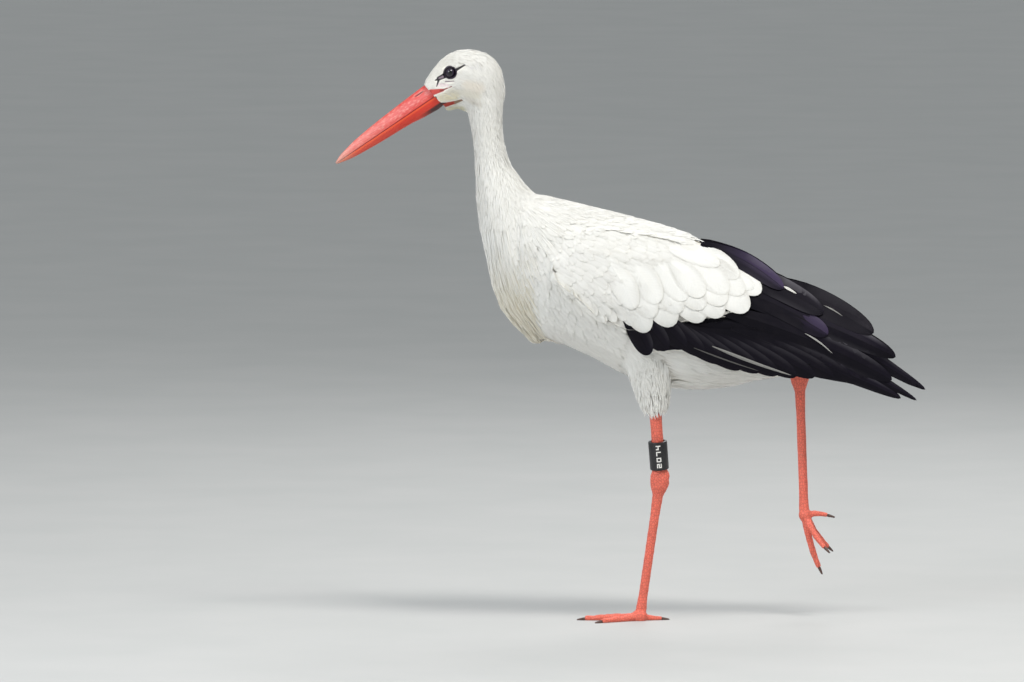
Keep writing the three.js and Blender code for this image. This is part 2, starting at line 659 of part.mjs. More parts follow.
for (const [name, side] of [["left", LEFT], ["right", RIGHT]]) {
  place(`eye_${name}`, eyeSolid(side, 0), EYE_GLOSS);

  const line = lines[name];
  const [cuff, hock, ankle] = [line.cuff, line.hock, line.ankle].map((p) => new THREE.Vector3(...p));
  const down = ankle.clone().sub(hock).normalize();
  const acrossHock = down.clone().sub(cuff.clone().sub(hock).normalize());
  const toHock = hock.clone().sub(cuff);
  const shin = shankSolid(line, 0).add(tarsusSolid(line, 0));
  const thigh = without(before(thighSolid(line, THIGHS[name], 0), cuff, toHock), trunkClear);
  place(`thigh_${name}`, thigh, WHITE_PLUMES);
  const shank = beyond(before(shin, hock, acrossHock), cuff, toHock);
  place(`shank_${name}`, without(shank, trunkClear), RED_SCALES);
  const tarsus = before(beyond(shin, hock, acrossHock), ankle, down);
  place(`tarsus_${name}`, tarsus, RED_SCALES);
  for (const [part, shape] of Object.entries(feet[name])) {
    const piece = part.startsWith("foot") ? beyond(shape, ankle, down) : shape;
    place(part, piece, part.startsWith("claw") ? DARK_CLAW : RED_SCALES);
  }

  const legClear = [thighSolid(line, THIGHS[name], GAP), shankSolid(line, GAP), tarsusSolid(line, GAP)];
  const clearance = [trunkClear, tailSolid(GAP), ...legClear];
  place(`wing_${name}_coverts`, without(covertsSolid(side, 0), ...clearance), WHITE_PLUMES);
  const flight = without(flightFeathers(side), otherHalf(side), covertsSolid(side, GAP), ...clearance);
  place(`wing_${name}_secondaries`, before(flight, PRIMARY_CUT, PRIMARY_WAY), BLACK_PLUMES);
  place(`wing_${name}_primaries`, beyond(flight, PRIMARY_CUT, PRIMARY_WAY), BLACK_PLUMES);
}
place("leg_band_left", bandSolid(lines.left), BAND_PLASTIC);

export default stork;
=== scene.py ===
"""A white stork at life size, walking with one leg lifted.

One skin runs under the whole bird. Feathers of solid mesh grow from it in the way they lie on
the living bird: fine tufts on the head, long plumes on the breast, broad coverts and dark
flight feathers on the wings. The bill, eyes, lids, claws and leg ring are pieces of their own.

It is laid out as a Blender add-on: each piece has an operator, and its settings are on a panel.
Numbers in the tables are millimetres; the bird faces -X and stands on the plane z = 0.
"""

import json
import math

import bmesh
import bpy
import numpy as np
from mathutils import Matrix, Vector
from mathutils.bvhtree import BVHTree
from mathutils.kdtree import KDTree

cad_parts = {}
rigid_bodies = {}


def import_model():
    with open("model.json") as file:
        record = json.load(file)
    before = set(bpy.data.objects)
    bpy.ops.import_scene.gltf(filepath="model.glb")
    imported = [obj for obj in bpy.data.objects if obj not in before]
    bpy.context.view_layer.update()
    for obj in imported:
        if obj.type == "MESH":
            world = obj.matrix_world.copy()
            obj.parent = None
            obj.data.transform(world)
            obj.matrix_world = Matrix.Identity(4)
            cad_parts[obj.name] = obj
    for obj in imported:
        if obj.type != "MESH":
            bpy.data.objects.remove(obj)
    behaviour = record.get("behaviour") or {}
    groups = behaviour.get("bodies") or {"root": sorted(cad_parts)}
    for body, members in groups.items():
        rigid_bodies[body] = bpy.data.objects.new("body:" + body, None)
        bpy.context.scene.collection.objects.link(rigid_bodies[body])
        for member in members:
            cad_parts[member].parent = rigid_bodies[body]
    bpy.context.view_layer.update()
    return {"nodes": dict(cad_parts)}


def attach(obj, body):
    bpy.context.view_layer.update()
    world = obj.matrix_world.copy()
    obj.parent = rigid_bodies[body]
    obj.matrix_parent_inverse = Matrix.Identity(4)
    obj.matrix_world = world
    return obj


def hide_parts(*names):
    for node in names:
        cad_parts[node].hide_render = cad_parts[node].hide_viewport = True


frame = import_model()

bl_info = {
    "name": "White stork",
    "version": (1, 0, 0),
    "blender": (4, 5, 0),
    "location": "View3D > Sidebar > Stork",
    "description": "Builds a life-size white stork in feathers of solid mesh",
    "category": "Object",
}

MM = 0.001
MIDLINE = 3.0
SIDES = {"left": -1, "right": 1}
TOE_NAMES = ("inner", "middle", "outer", "hind")
# The side whose thigh is swung back under the wing.
SWUNG_SIDE = "right"
# The middles of the two ankle joints that stand up in the shapes of the legs.
HOCKS = ((28.5, -17, 201), (224, 49, 343))

HEAD_NODES = ["head", "neck_upper"]
LEG_NODES = [f"{part}_{side}" for part in ("shank", "tarsus", "foot") for side in SIDES]
LEG_NODES += [f"toe_{side}_{toe}" for side in SIDES for toe in TOE_NAMES]
CLAW_NODES = [f"claw_{side}_{toe}" for side in SIDES for toe in TOE_NAMES]
THIGH_NODES = [f"thigh_{side}" for side in SIDES]
COVERT_NODES = [f"wing_{side}_coverts" for side in SIDES]
BODY_NODES = ["neck_lower", "ruff", "trunk", "tail"]
SKIN_NODES = HEAD_NODES + BODY_NODES + THIGH_NODES + LEG_NODES + COVERT_NODES


# ---------------------------------------------------------------- small helpers
def colour(code):
    """The linear colour of an sRGB code such as #f0eee8."""
    parts = [int(code[i : i + 2], 16) / 255 for i in (1, 3, 5)]
    return tuple(c / 12.92 if c <= 0.04045 else ((c + 0.055) / 1.055) ** 2.4 for c in parts)


def unit(vectors):
    """The vectors at length one."""
    length = np.linalg.norm(vectors, axis=-1, keepdims=True)
    return vectors / np.maximum(length, 1e-9)


def ease(value, low, high):
    """From 0 at low to 1 at high, with a soft start and end."""
    share = np.clip((value - low) / (high - low), 0.0, 1.0)
    return share * share * (3 - 2 * share)


def dot(a, b):
    return np.sum(a * b, axis=-1, keepdims=True)


def to_segment(points, start, end):
    """How far points are from a segment in side view, and how far along it their feet are."""
    a = np.array(start, float)
    way = np.array(end, float) - a
    flat = points[:, [0, 2]] / MM - a
    along = np.clip(flat @ way / max(way @ way, 1e-9), 0, 1)
    return np.linalg.norm(flat - along[:, None] * way, axis=1), along


def in_edit_mode(obj):
    """Makes an object the only one selected and opens it for editing."""
    if bpy.context.mode != "OBJECT":
        bpy.ops.object.mode_set(mode="OBJECT")
    bpy.ops.object.select_all(action="DESELECT")
    bpy.context.view_layer.objects.active = obj
    obj.select_set(True)
    bpy.ops.object.mode_set(mode="EDIT")


def in_object_mode():
    bpy.ops.object.mode_set(mode="OBJECT")
    return bpy.context.view_layer.objects.active


def link(name, mesh):
    obj = bpy.data.objects.new(name, mesh)
    bpy.context.scene.collection.objects.link(obj)
    return obj


def place(obj, materials, replaced=()):
    """Gives a finished piece its materials, its body and the solids it stands for."""
    obj.data.materials.clear()
    for material in materials:
        obj.data.materials.append(material)
    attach(obj, "root")
    if replaced:
        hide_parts(*replaced)
    return obj


def read_points(mesh):
    flat = np.empty(len(mesh.vertices) * 3)
    mesh.vertices.foreach_get("co", flat)
    return flat.reshape(-1, 3)


def write_points(mesh, points):
    mesh.vertices.foreach_set("co", points.ravel())
    mesh.update()


def read_normals(mesh):
    flat = np.empty(len(mesh.vertices) * 3)
    mesh.vertex_normals.foreach_get("vector", flat)
    return flat.reshape(-1, 3)


def read_edges(mesh):
    flat = np.empty(len(mesh.edges) * 2, dtype=np.int64)
    mesh.edges.foreach_get("vertices", flat)
    return flat.reshape(-1, 2)


def relax(mesh, rounds, share=None):
    """Evens out a mesh without shrinking it; share says how much of that each point takes."""
    points = read_points(mesh)
    edges = read_edges(mesh)
    ends = np.concatenate([edges[:, 0], edges[:, 1]])
    others = np.concatenate([edges[:, 1], edges[:, 0]])
    count = np.maximum(np.bincount(ends, minlength=len(points)), 1)
    if share is None:
        share = np.ones(len(points))
    for turn in range(rounds * 2):
        step = 0.5 if turn % 2 == 0 else -0.52
        mean = np.stack(
            [np.bincount(ends, points[others, k], len(points)) / count for k in range(3)], axis=1
        )
        points = points + (mean - points) * (share * step)[:, None]
    write_points(mesh, points)


def joined_solids(name, nodes, voxel, grow=0.35):
    """One closed mesh round copies of the CAD solids, with the thin cuts between them closed."""
    shape = bmesh.new()
    for node in nodes:
        shape.from_mesh(frame["nodes"][node].data)
    bmesh.ops.remove_doubles(shape, verts=shape.verts, dist=1e-6)
    bmesh.ops.recalc_face_normals(shape, faces=shape.faces)
    shape.normal_update()
    for vert in shape.verts:
        vert.co += vert.normal * grow * MM
    mesh = bpy.data.meshes.new(name)
    shape.to_mesh(mesh)
    shape.free()
    obj = link(name, mesh)
    bpy.ops.object.select_all(action="DESELECT")
    bpy.context.view_layer.objects.active = obj
    obj.select_set(True)
    mesh.remesh_voxel_size = voxel * MM
    mesh.remesh_voxel_adaptivity = 0
    bpy.ops.object.voxel_remesh()
    keep_largest_shell(obj)
    return obj


def soften_nape(mesh):
    """Evens out the ridge where the head meets the neck behind."""
    points = read_points(mesh) / MM
    share = ease(-np.abs(points[:, 2] - 728), -20, -6) * ease(points[:, 0], -246, -232)
    relax(mesh, 40, share)


def keep_largest_shell(obj):
    """Drops closed pockets that remeshing leaves inside a form."""
    in_edit_mode(obj)
    bpy.ops.mesh.select_all(action="DESELECT")
    in_object_mode()
    points = read_points(obj.data)
    obj.data.vertices[int(np.argmax(points[:, 2]))].select = True
    bpy.ops.object.mode_set(mode="EDIT")
    bpy.ops.mesh.select_linked()
    bpy.ops.mesh.select_all(action="INVERT")
    bpy.ops.mesh.delete(type="VERT")
    in_object_mode()


# ---------------------------------------------------------------- forms that feathers grow on
class Form:
    """A smooth closed form: nearest points on it, and its outward direction there."""

    def __init__(self, name, nodes, voxel, rounds):
        obj = joined_solids(name, nodes, voxel)
        mesh = obj.data
        relax(mesh, rounds)
        soften_nape(mesh)
        mesh.calc_loop_triangles()
        self.points = read_points(mesh)
        normals = read_normals(mesh)
        corners = np.empty(len(mesh.loop_triangles) * 3, dtype=np.int64)
        mesh.loop_triangles.foreach_get("vertices", corners)
        self.corners = corners.reshape(-1, 3)
        self.outward = unit(normals[self.corners].sum(axis=1))
        self.tree = BVHTree.FromPolygons(self.points.tolist(), self.corners.tolist())
        self.zone = None
        bpy.data.objects.remove(obj)
        bpy.data.meshes.remove(mesh)

    def sort_into(self, groups):
        """Notes for each triangle which group of CAD solids it is nearest to."""
        trees = [solid_tree(nodes) for nodes in groups.values()]
        middles = [Vector(p) for p in self.points[self.corners].mean(axis=1)]
        away = np.array([[tree.find_nearest(p)[3] for tree in trees] for p in middles])
        self.zone = np.array(list(groups))[away.argmin(axis=1)]

    def nearest(self, places):
        """The nearest points on the form and the ways out of it there."""
        found = [self.tree.find_nearest(Vector(p)) for p in places]
        points = np.array([hit[0] for hit in found])
        return points, self.outward[[hit[2] for hit in found]]

    def zone_at(self, points):
        """The zones of the places on the form nearest to points."""
        found = [self.tree.find_nearest(Vector(p))[2] for p in points]
        return self.zone[found]

    def scatter(self, spacing, zones, wanted, rng):
        """Evenly scattered places in some zones of the form, where wanted(points) is true."""
        a, b, c = (self.points[self.corners[:, k]] for k in range(3))
        area = np.linalg.norm(np.cross(b - a, c - a), axis=1) / 2
        area = area * wanted((a + b + c) / 3) * np.isin(self.zone, zones)
        gap = spacing * MM
        count = int(area.sum() / gap**2 * 5)
        picked = rng.choice(len(area), size=count, p=area / area.sum())
        u, v = rng.random((2, count))
        u, v = np.where(u + v > 1, 1 - u, u), np.where(u + v > 1, 1 - v, v)
        points = a[picked] + (b - a)[picked] * u[:, None] + (c - a)[picked] * v[:, None]
        cells = np.floor(points / (gap * 0.9)).astype(np.int64)
        first = np.unique(cells, axis=0, return_index=True)[1]
        points = points[np.sort(first)]
        points = points[wanted(points)]
        return points[far_apart(points, gap * 0.62)]


def far_apart(points, gap):
    """Which points to keep so that no two are closer than a gap."""
    tree = KDTree(len(points))
    for index, point in enumerate(points):
        tree.insert(point, index)
    tree.balance()
    kept = np.ones(len(points), dtype=bool)
    for index, point in enumerate(points):
        if kept[index]:
            for _, other, _ in tree.find_range(point, gap):
                if other > index:
                    kept[other] = False
    return kept


FORMS = {}
COAT_NODES = HEAD_NODES + BODY_NODES + THIGH_NODES
WING_PARTS = ("coverts", "secondaries", "primaries")


DARK_NODES = [f"wing_{side}_{part}" for side in SIDES for part in WING_PARTS[1:]]
ZONES = {
    "head": HEAD_NODES,
    "neck": ["neck_lower"],
    "breast": ["ruff"],
    "trunk": ["trunk"],
    "tail": ["tail"],
    "thigh": THIGH_NODES,
    "covert": COVERT_NODES,
    "dark": DARK_NODES,
}


def coat_form():
    """The outside of all feathers."""
    if "coat" not in FORMS:
        FORMS["coat"] = Form("coat_form", COAT_NODES + COVERT_NODES + DARK_NODES, 3.4, 7)
        FORMS["coat"].sort_into(ZONES)
    return FORMS["coat"]


def solid_tree(nodes):
    """A search tree of CAD solids."""
    key = "tree:" + ",".join(nodes)
    if key not in FORMS:
        shape = bmesh.new()
        for node in nodes:
            shape.from_mesh(frame["nodes"][node].data)
        FORMS[key] = BVHTree.FromBMesh(shape)
        shape.free()
    return FORMS[key]


def near(nodes, points, reach):
    """Whether points are within reach of some CAD solids."""
    tree = solid_tree(nodes)
    return np.array([tree.find_nearest(Vector(p), reach * MM)[0] is not None for p in points])


class WingField:
    """How far out the wing's side stands at each place in side view."""

    STEP = 4.0
    OVER_THIGH = 8.0
    LOW = (-150.0, 285.0)
    HIGH = (420.0, 610.0)

    def __init__(self, side):
        self.sign = SIDES[side]
        self.count = [int((self.HIGH[k] - self.LOW[k]) / self.STEP) + 1 for k in range(2)]
        reach = self.side_of(Form(f"wing_form_{side}", [f"wing_{side}_{part}" for part in WING_PARTS], 3.6, 5))
        if side == SWUNG_SIDE:
            thigh = self.side_of(Form("swung_thigh_form", [f"thigh_{side}"], 3.6, 5)) + self.OVER_THIGH
            both = ~np.isnan(reach) & ~np.isnan(thigh)
            reach[both] = np.maximum(reach[both], thigh[both])
        self.reach = self.filled(reach)

    def side_of(self, form):
        """How far out a form's side stands at each place of the grid, and nan where it has none."""
        reach = np.full(self.count, np.nan)
        way = Vector((0, -self.sign, 0))
        for i in range(self.count[0]):
            x = (self.LOW[0] + i * self.STEP) * MM
            for j in range(self.count[1]):
                z = (self.LOW[1] + j * self.STEP) * MM
                hit = form.tree.ray_cast(Vector((x, self.sign * 0.5, z)), way)[0]
                if hit is not None:
                    reach[i, j] = hit.y * self.sign / MM
        return reach

    @staticmethod
    def filled(reach):
        """Carries the values outwards over the gaps and blurs them."""
        known = ~np.isnan(reach)
        value = np.where(known, reach, 0.0)
        total = value
        weight = known.astype(float)
        for _ in range(60):
            total = WingField.blurred(np.where(known, value, total))
            weight = WingField.blurred(np.where(known, 1.0, weight))
            grown = total / np.maximum(weight, 1e-6)
            total = np.where(known, value, grown * np.minimum(weight, 1.0))
            weight = np.where(known, 1.0, weight)
        result = np.where(known, value, total / np.maximum(weight, 1e-6))
        for _ in range(5):
            result = WingField.blurred(result)
        return result

    @staticmethod
    def blurred(values):
        padded = np.pad(values, 1, mode="edge")
        rows = (padded[:-2] + 2 * padded[1:-1] + padded[2:]) / 4
        return (rows[:, :-2] + 2 * rows[:, 1:-1] + rows[:, 2:]) / 4

    def at(self, x, z):
        """The reach at places in side view, between the grid's points."""
        i = np.clip((x - self.LOW[0]) / self.STEP, 0, self.count[0] - 1.001)
        j = np.clip((z - self.LOW[1]) / self.STEP, 0, self.count[1] - 1.001)
        i0, j0 = i.astype(int), j.astype(int)
        fi, fj = i - i0, j - j0
        near_side = self.reach[i0, j0] * (1 - fi) + self.reach[i0 + 1, j0] * fi
        far_side = self.reach[i0, j0 + 1] * (1 - fi) + self.reach[i0 + 1, j0 + 1] * fi
        return near_side * (1 - fj) + far_side * fj

    def lifted(self, x, z, lift):
        """Points above the wing's side by a lift, in metres."""
        reach = self.at(x, z)
        step = 3.0
        slope_x = (self.at(x + step, z) - self.at(x - step, z)) / (2 * step)
        slope_z = (self.at(x, z + step) - self.at(x, z - step)) / (2 * step)
        out = unit(np.stack([-slope_x, np.ones_like(reach), -slope_z], axis=-1))
        points = np.stack([x, reach, z], axis=-1) + out * lift[..., None]
        points[..., 1] *= self.sign
        return points * MM


def wing_field(side):
    key = f"field:{side}"
    if key not in FORMS:
        FORMS[key] = WingField(side)
    return FORMS[key]


# ---------------------------------------------------------------- markings
WHITE = colour("#f3f1ea")
CREAM = colour("#efe9d8")
PLUME_SHADE_TAN = colour("#c9bda2")
SKIN_WHITE = colour("#ece9e1")
BLACK = colour("#100f14")
PURPLE_SHEEN = colour("#3a3148")
LEG_RED = colour("#f27560")
LORE_BLACK = colour("#1a161c")
LID_GREY = colour("#2a2132")
GULAR_RED = colour("#b03a2c")
GAPE_RED = colour("#cf4c44")
GAPE_LINE = colour("#8f3a36")
FACE_PINK = colour("#f1e3e1")
FACE_SHADE = colour("#85757f")
GULAR_BROWN = colour("#9c8069")

EYE = (-264.6, 768.2)
# Bare skin on the face: start, end, radius at each and colour, in side view.
BARE_SKIN = [
    ((-281, 751), (-268, 750.5), 3.0, 2.0, FACE_PINK),
    ((-271, 755.5), (-259.5, 756.5), 0.9, 0.6, FACE_SHADE),
    ((-291, 740), (-275, 743.6), 4.6, 1.9, GAPE_RED),
    ((-278, 742.4), (-262.5, 749), 1.2, 0.55, GAPE_LINE),
    ((-277, 721.2), (-257, 726.4), 3.7, 2.1, GULAR_RED),
    ((-257, 726.4), (-243, 731.6), 2.1, 0.9, GULAR_BROWN),
    (EYE, EYE, 9.3, 9.3, LORE_BLACK),
    ((-271, 764.5), (-280.5, 759.8), 3.7, 2.9, LORE_BLACK),
    ((-280.5, 759), (-285.5, 757.2), 2.1, 0.7, LORE_BLACK),
    ((-274.5, 762.4), (-280, 760), 1.5, 1.1, FACE_SHADE),
    ((-280.5, 758), (-283.5, 748.5), 1.7, 0.5, LORE_BLACK),
    ((-256.5, 771.8), (-243.5, 779.2), 2.1, 0.9, LORE_BLACK),
    ((-284.5, 734), (-283, 728), 0.9, 1.1, LORE_BLACK),
    ((-283, 728), (-278, 724.6), 1.2, 1.4, LORE_BLACK),
    ((-278, 724.6), (-271, 725.4), 1.3, 0.7, LORE_BLACK),
]
# Tinted feathers on the face: start, end, radius, colour and strength. Two of them are painted light, noted below.
FACE_TINTS = [
    ((-243, 779), (-226, 781), 1.5, colour("#cfcccd"), 0.5),
    ((-279, 733.5), (-262, 736), 6.5, colour("#ece2c0"), 0.95),
    ((-266, 742), (-232, 742), 6.0, colour("#eae3cf"), 0.6),
    ((-245, 754), (-228, 753), 8.0, colour("#efe4d2"), 0.6),
    # painted shadow: grey-tan stripes low on the cheek
    ((-244, 734), (-228, 730), 4.0, colour("#ddd5c6"), 0.6),
    # painted reflection: greenish cream under the chin
    ((-278, 714), (-252, 719), 5.0, colour("#e4dfba"), 0.8),
]


def bare_face(points, spare=0.0):
    """Whether points are on the face's bare skin, and its colour there."""
    bare = np.zeros(len(points), dtype=bool)
    tint = np.tile(np.array(SKIN_WHITE), (len(points), 1))
    for start, end, first, last, shade in BARE_SKIN:
        distance, along = to_segment(points, start, end)
        depth = first + (last - first) * along + spare - distance
        bare |= depth > 0
        cover = ease(depth, -0.35, 0.35)[:, None]
        tint = tint * (1 - cover) + np.array(shade) * cover
    return bare, tint


# The way feathers lie: degrees below level, pointing to the tail, by distance along the body.
BELLY_LIE = ([-230, -170, -120, -60, 0, 60, 340], [80, 70, 60, 42, 30, 21, 16])
BACK_LIE = ([-190, -165, -130, -60, 60, 200, 340], [82, 64, 40, 20, 24, 30, 20])


def lie(points):
    """The way feathers point at places on the bird."""
    x, y, z = points.T / MM
    back = np.interp(x, *BACK_LIE)
    belly = np.interp(x, *BELLY_LIE)
    body = belly + (back - belly) * ease(z, 500, 565)
    face = 16 + 52 * ease(x, -275, -205)
    neck = np.full(len(points), 84.0)
    high = ease(z, 585, 640) * ease(-x, 130, 160)
    angle = body + (neck - body) * high
    angle = angle + (face - angle) * ease(z, 690, 735)
    angle = np.radians(angle)
    spread = np.clip((y - MIDLINE) / 60, -1, 1) * 0.12 * (1 - ease(x, -120, 0))
    return unit(np.stack([np.cos(angle), spread, -np.sin(angle)], axis=1))


THIGH_LINES = {"left": ((4, -47, 427), (21, -33, 300)), "right": ((14, 55, 417), (170, 52, 361))}


def thigh_lie(points):
    """The way feathers point on the thighs: down the limb, closing in on the leg below them."""
    ways = np.empty_like(points)
    for side in SIDES:
        start, end = np.array(THIGH_LINES[side], float)
        down = unit(end - start)
        aim = unit((end + down * 44) * MM - points)
        close = 1 - ease(np.linalg.norm(points - end * MM, axis=1, keepdims=True) / MM, 24, 66)
        here = (points[:, 1] < MIDLINE * MM) == (side == "left")
        ways[here] = unit(down * (1 - close) + aim * close)[here]
    return ways


# The line of the body from the bill's root to the tail, which the coat's map unrolls round.
BODY_LINE = [
    (-300, 738), (-262, 752), (-222, 742), (-210, 690), (-200, 630),
    (-180, 560), (-130, 490), (-40, 455), (80, 430), (200, 395), (345, 345),
]


def unwrapped(points):
    """Where places fall on the flat map: along the body's line, and round it."""
    line = np.array(BODY_LINE, float)
    starts, ends = line[:-1], line[1:]
    lengths = np.linalg.norm(ends - starts, axis=1)
    before = np.concatenate([[0], np.cumsum(lengths)[:-1]])
    flat = points[:, [0, 2]] / MM
    best = np.full(len(points), 1e9)
    u = np.zeros(len(points))
    v = np.zeros(len(points))
    for start, end, length, base in zip(starts, ends, lengths, before):
        way = (end - start) / length
        along = np.clip((flat - start) @ way, 0, length)
        foot = start + along[:, None] * way
        away = flat - foot
        distance = np.linalg.norm(away, axis=1)
        height = away @ np.array([-way[1], way[0]])
        closer = distance < best
        best = np.where(closer, distance, best)
        u = np.where(closer, (base + along) / lengths.sum(), u)
        around = np.arctan2(points[:, 1] / MM - MIDLINE, height) / (2 * math.pi) + 0.5
        v = np.where(closer, around, v)
    body = np.stack([0.02 + 0.96 * u, 0.02 + 0.66 * v], axis=1)
    leg = points[:, 2] < 0.33
    side = (points[:, 1] > MIDLINE * MM).astype(float)
    around = np.arctan2(points[:, 1] / MM - MIDLINE - (side * 2 - 1) * 45, flat[:, 0] - 60 - 130 * side)
    limb = np.stack(
        [0.02 + 0.96 * np.clip(points[:, 2] / 0.45, 0, 1), 0.72 + 0.13 * side + 0.11 * (around / 6.2832 + 0.5)],
        axis=1,
    )
    return np.where(leg[:, None], limb, body)


# ---------------------------------------------------------------- feathers as solid mesh
# The outline across a feather: how far from its shaft and how far above its underside.
HAIR_SECTION = [(-1, 0), (0, 1), (1, 0)]
VANE_SECTION = [(-1, 0), (0, 1), (1, 0), (0, -0.5)]
BROAD_SECTION = [(-1, 0), (-0.5, 0.8), (-0.06, 0.9), (0, 1.5), (0.06, 0.9), (0.5, 0.8), (1, 0), (0, -0.6)]
PATCH = 0.003


def rounded(t, broad=0.45, power=2.6):
    """A feather's width along it: broad in the middle, with a round end."""
    rise = np.clip(t / broad, 0, 1) ** 0.6
    end = np.clip((t - broad) / (1 - broad), 0, 1)
    return (0.25 + 0.75 * rise) * (1 - end**power) ** 0.5


def pointed(t, broad=0.3, power=0.75):
    """A feather's width along it: a narrow blade with a fine tip."""
    rise = np.clip(t / broad, 0, 1) ** 0.7
    end = np.clip((t - broad) / (1 - broad), 0, 1)
    return (0.35 + 0.65 * rise) * (1 - end) ** power


def steps_along(count, crowd=1.4):
    """Places along a feather, closer together towards its tip."""
    return 1 - (1 - np.linspace(0, 1, count)) ** crowd


def feather_mesh(name, rings, tips, tints, roots, across, along):
    """Closed feathers in one mesh. rings is feathers by stations by corners by 3."""
    feathers, stations, corners, _ = rings.shape
    each = stations * corners + 1
    points = np.concatenate([rings.reshape(feathers, -1, 3), tips[:, None, :]], axis=1)
    k = np.arange(corners)
    after = (k + 1) % corners
    quads = np.concatenate(
        [
            np.stack([s * corners + k, s * corners + after, (s + 1) * corners + after, (s + 1) * corners + k], 1)
            for s in range(stations - 1)
        ]
    )
    end = (stations - 1) * corners
    caps = np.stack([end + k, end + after, np.full(corners, each - 1)], axis=1)
    base = k[::-1]
    loops = np.concatenate([quads.ravel(), caps.ravel(), base])
    sizes = np.concatenate([np.full(len(quads), 4), np.full(corners, 3), [corners]])
    shift = (np.arange(feathers) * each)[:, None]
    all_loops = (loops[None, :] + shift).ravel()
    all_sizes = np.tile(sizes, feathers)
    mesh = bpy.data.meshes.new(name)
    mesh.vertices.add(feathers * each)
    mesh.loops.add(len(all_loops))
    mesh.polygons.add(len(all_sizes))
    mesh.vertices.foreach_set("co", points.ravel())
    mesh.loops.foreach_set("vertex_index", all_loops)
    mesh.polygons.foreach_set("loop_start", np.concatenate([[0], np.cumsum(all_sizes)[:-1]]))
    mesh.update(calc_edges=True)
    mesh.validate()
    side = np.concatenate([np.tile(across, stations), [0.0]])
    far = np.concatenate([np.repeat(along[:stations], corners), [1.0]])
    vane = np.stack([side * 0.5 + 0.5, far], axis=1)
    patch = np.stack([side * PATCH / 2, (far - 0.5) * PATCH], axis=1)
    bake = unwrapped(roots)[:, None, :] + patch[None, :, :]
    put_map(mesh, "OFBake", bake.reshape(-1, 2)[all_loops])
    put_map(mesh, "Vane", np.tile(vane[loops], (feathers, 1)))
    shades = np.ones((feathers, each, 4))
    if tints.ndim == 3:
        tints = np.repeat(tints[:, :, None], corners, axis=2)
    shades[:, :-1, :3] = tints.reshape(feathers, -1, 3)
    shades[:, -1, :3] = tints[:, -1, 0]
    attribute = mesh.color_attributes.new("Marking", "FLOAT_COLOR", "POINT")
    attribute.data.foreach_set("color", shades.ravel())
    mesh.polygons.foreach_set("use_smooth", np.ones(len(mesh.polygons), dtype=bool))
    mesh.set_sharp_from_angle(angle=math.radians(62))
    return link(name, mesh)


def put_map(mesh, name, places):
    layer = mesh.uv_layers.new(name=name)
    layer.uv.foreach_set("vector", places.astype(np.float32).ravel())


def section_points(section, spine, across, up, half, crown, camber):
    """The rings of a feather's section along its spine."""
    side = np.array([a for a, _ in section], float)
    height = np.array([h for _, h in section], float)
    out = side * half[..., None]
    rise = height * crown[..., None] - camber[..., None] * np.abs(side) ** 1.7 * half[..., None]
    return (
        spine[..., None, :]
        + across[..., None, :] * out[..., None] * MM
        + up[..., None, :] * rise[..., None] * MM
    )


def grow(name, roots, way_at, rng, *, length, half, shape, stations=5, lift=(-2, 0.4), hug=1.0,
         stiff=0.3, crown=0.5, camber=0.25, fan=8.0, section=VANE_SECTION, shade=None, curl=0.0,
         drop=None):
    """Feathers that follow the coat's form from their roots; sizes are numbers or one for each root."""
    form = coat_form()
    count = len(roots)
    length = np.broadcast_to(length, count) * (1 + 0.16 * (rng.random(count) - 0.5) * 2)
    half = np.broadcast_to(half, count) * (1 + 0.14 * (rng.random(count) - 0.5) * 2)
    low, high, curl, stiff = (np.broadcast_to(value, count) for value in (*lift, curl, stiff))
    stiff = stiff[:, None]
    hug = np.broadcast_to(hug, count)[:, None]
    high = high + (rng.random(count) - 0.5) * 0.5
    along = steps_along(stations + 1)
    points, out = form.nearest(roots)
    turn = np.radians(fan) * (rng.random(count) - 0.5) * 2
    place_now = points + out * low[:, None] * MM
    way = way_at(points)
    way = unit(way - out * dot(way, out))
    side = np.cross(way, out)
    way = unit(way * np.cos(turn)[:, None] + side * np.sin(turn)[:, None])
    spine = np.empty((count, stations + 1, 3))
    ups = np.empty_like(spine)
    spine[:, 0], ups[:, 0] = place_now, out
    for s in range(1, stations + 1):
        reach = (along[s] - along[s - 1]) * length * MM
        ahead = place_now + way * reach[:, None]
        hit, new_out = form.nearest(ahead)
        height = (low + (high - low) * along[s] + curl * along[s] ** 3) * MM
        above = dot(ahead - hit, new_out)
        pull = np.where(above < height[:, None], 1.0, hug)
        place_now = ahead + (hit + new_out * height[:, None] - ahead) * pull
        out = unit(out * (1 - hug) + new_out * hug)
        wanted = way_at(place_now)
        wanted = unit(wanted - out * dot(wanted, out))
        kept = unit(way - out * dot(way, out))
        followed = unit(kept * stiff + wanted * (1 - stiff))
        hanging = way + np.array([0, 0, -0.12])
        way = unit(followed * hug + hanging * (1 - hug))
        spine[:, s], ups[:, s] = place_now, out
    if drop is not None:
        kept = ~drop(spine)
        spine, ups, half, roots = spine[kept], ups[kept], half[kept], roots[kept]
    return dress(name, spine, ups, half, along, shape, crown, camber, section, shade, roots, rng)


def dress(name, spine, ups, half, along, shape, crown, camber, section, shade, roots, rng):
    """Turns spines into closed feathers with their colours."""
    forward = np.gradient(spine, axis=1)
    across = unit(np.cross(forward, ups))
    ups = unit(np.cross(across, forward))
    width = shape(along)[None, :] * np.asarray(half)[:, None]
    thick = np.broadcast_to(crown, width.shape) * (1 - 0.6 * along)[None, :]
    bend = np.broadcast_to(camber, width.shape)
    inner = slice(0, -1)
    rings = section_points(
        section, spine[:, inner], across[:, inner], ups[:, inner], width[:, inner], thick[:, inner], bend[:, inner]
    )
    tints = shade(spine, along, rng) if shade else plain_shade(spine, along, rng)
    side = np.array([a for a, _ in section], float)
    obj = feather_mesh(name, rings, spine[:, -1], tints[:, inner], roots, side, along)
    return obj


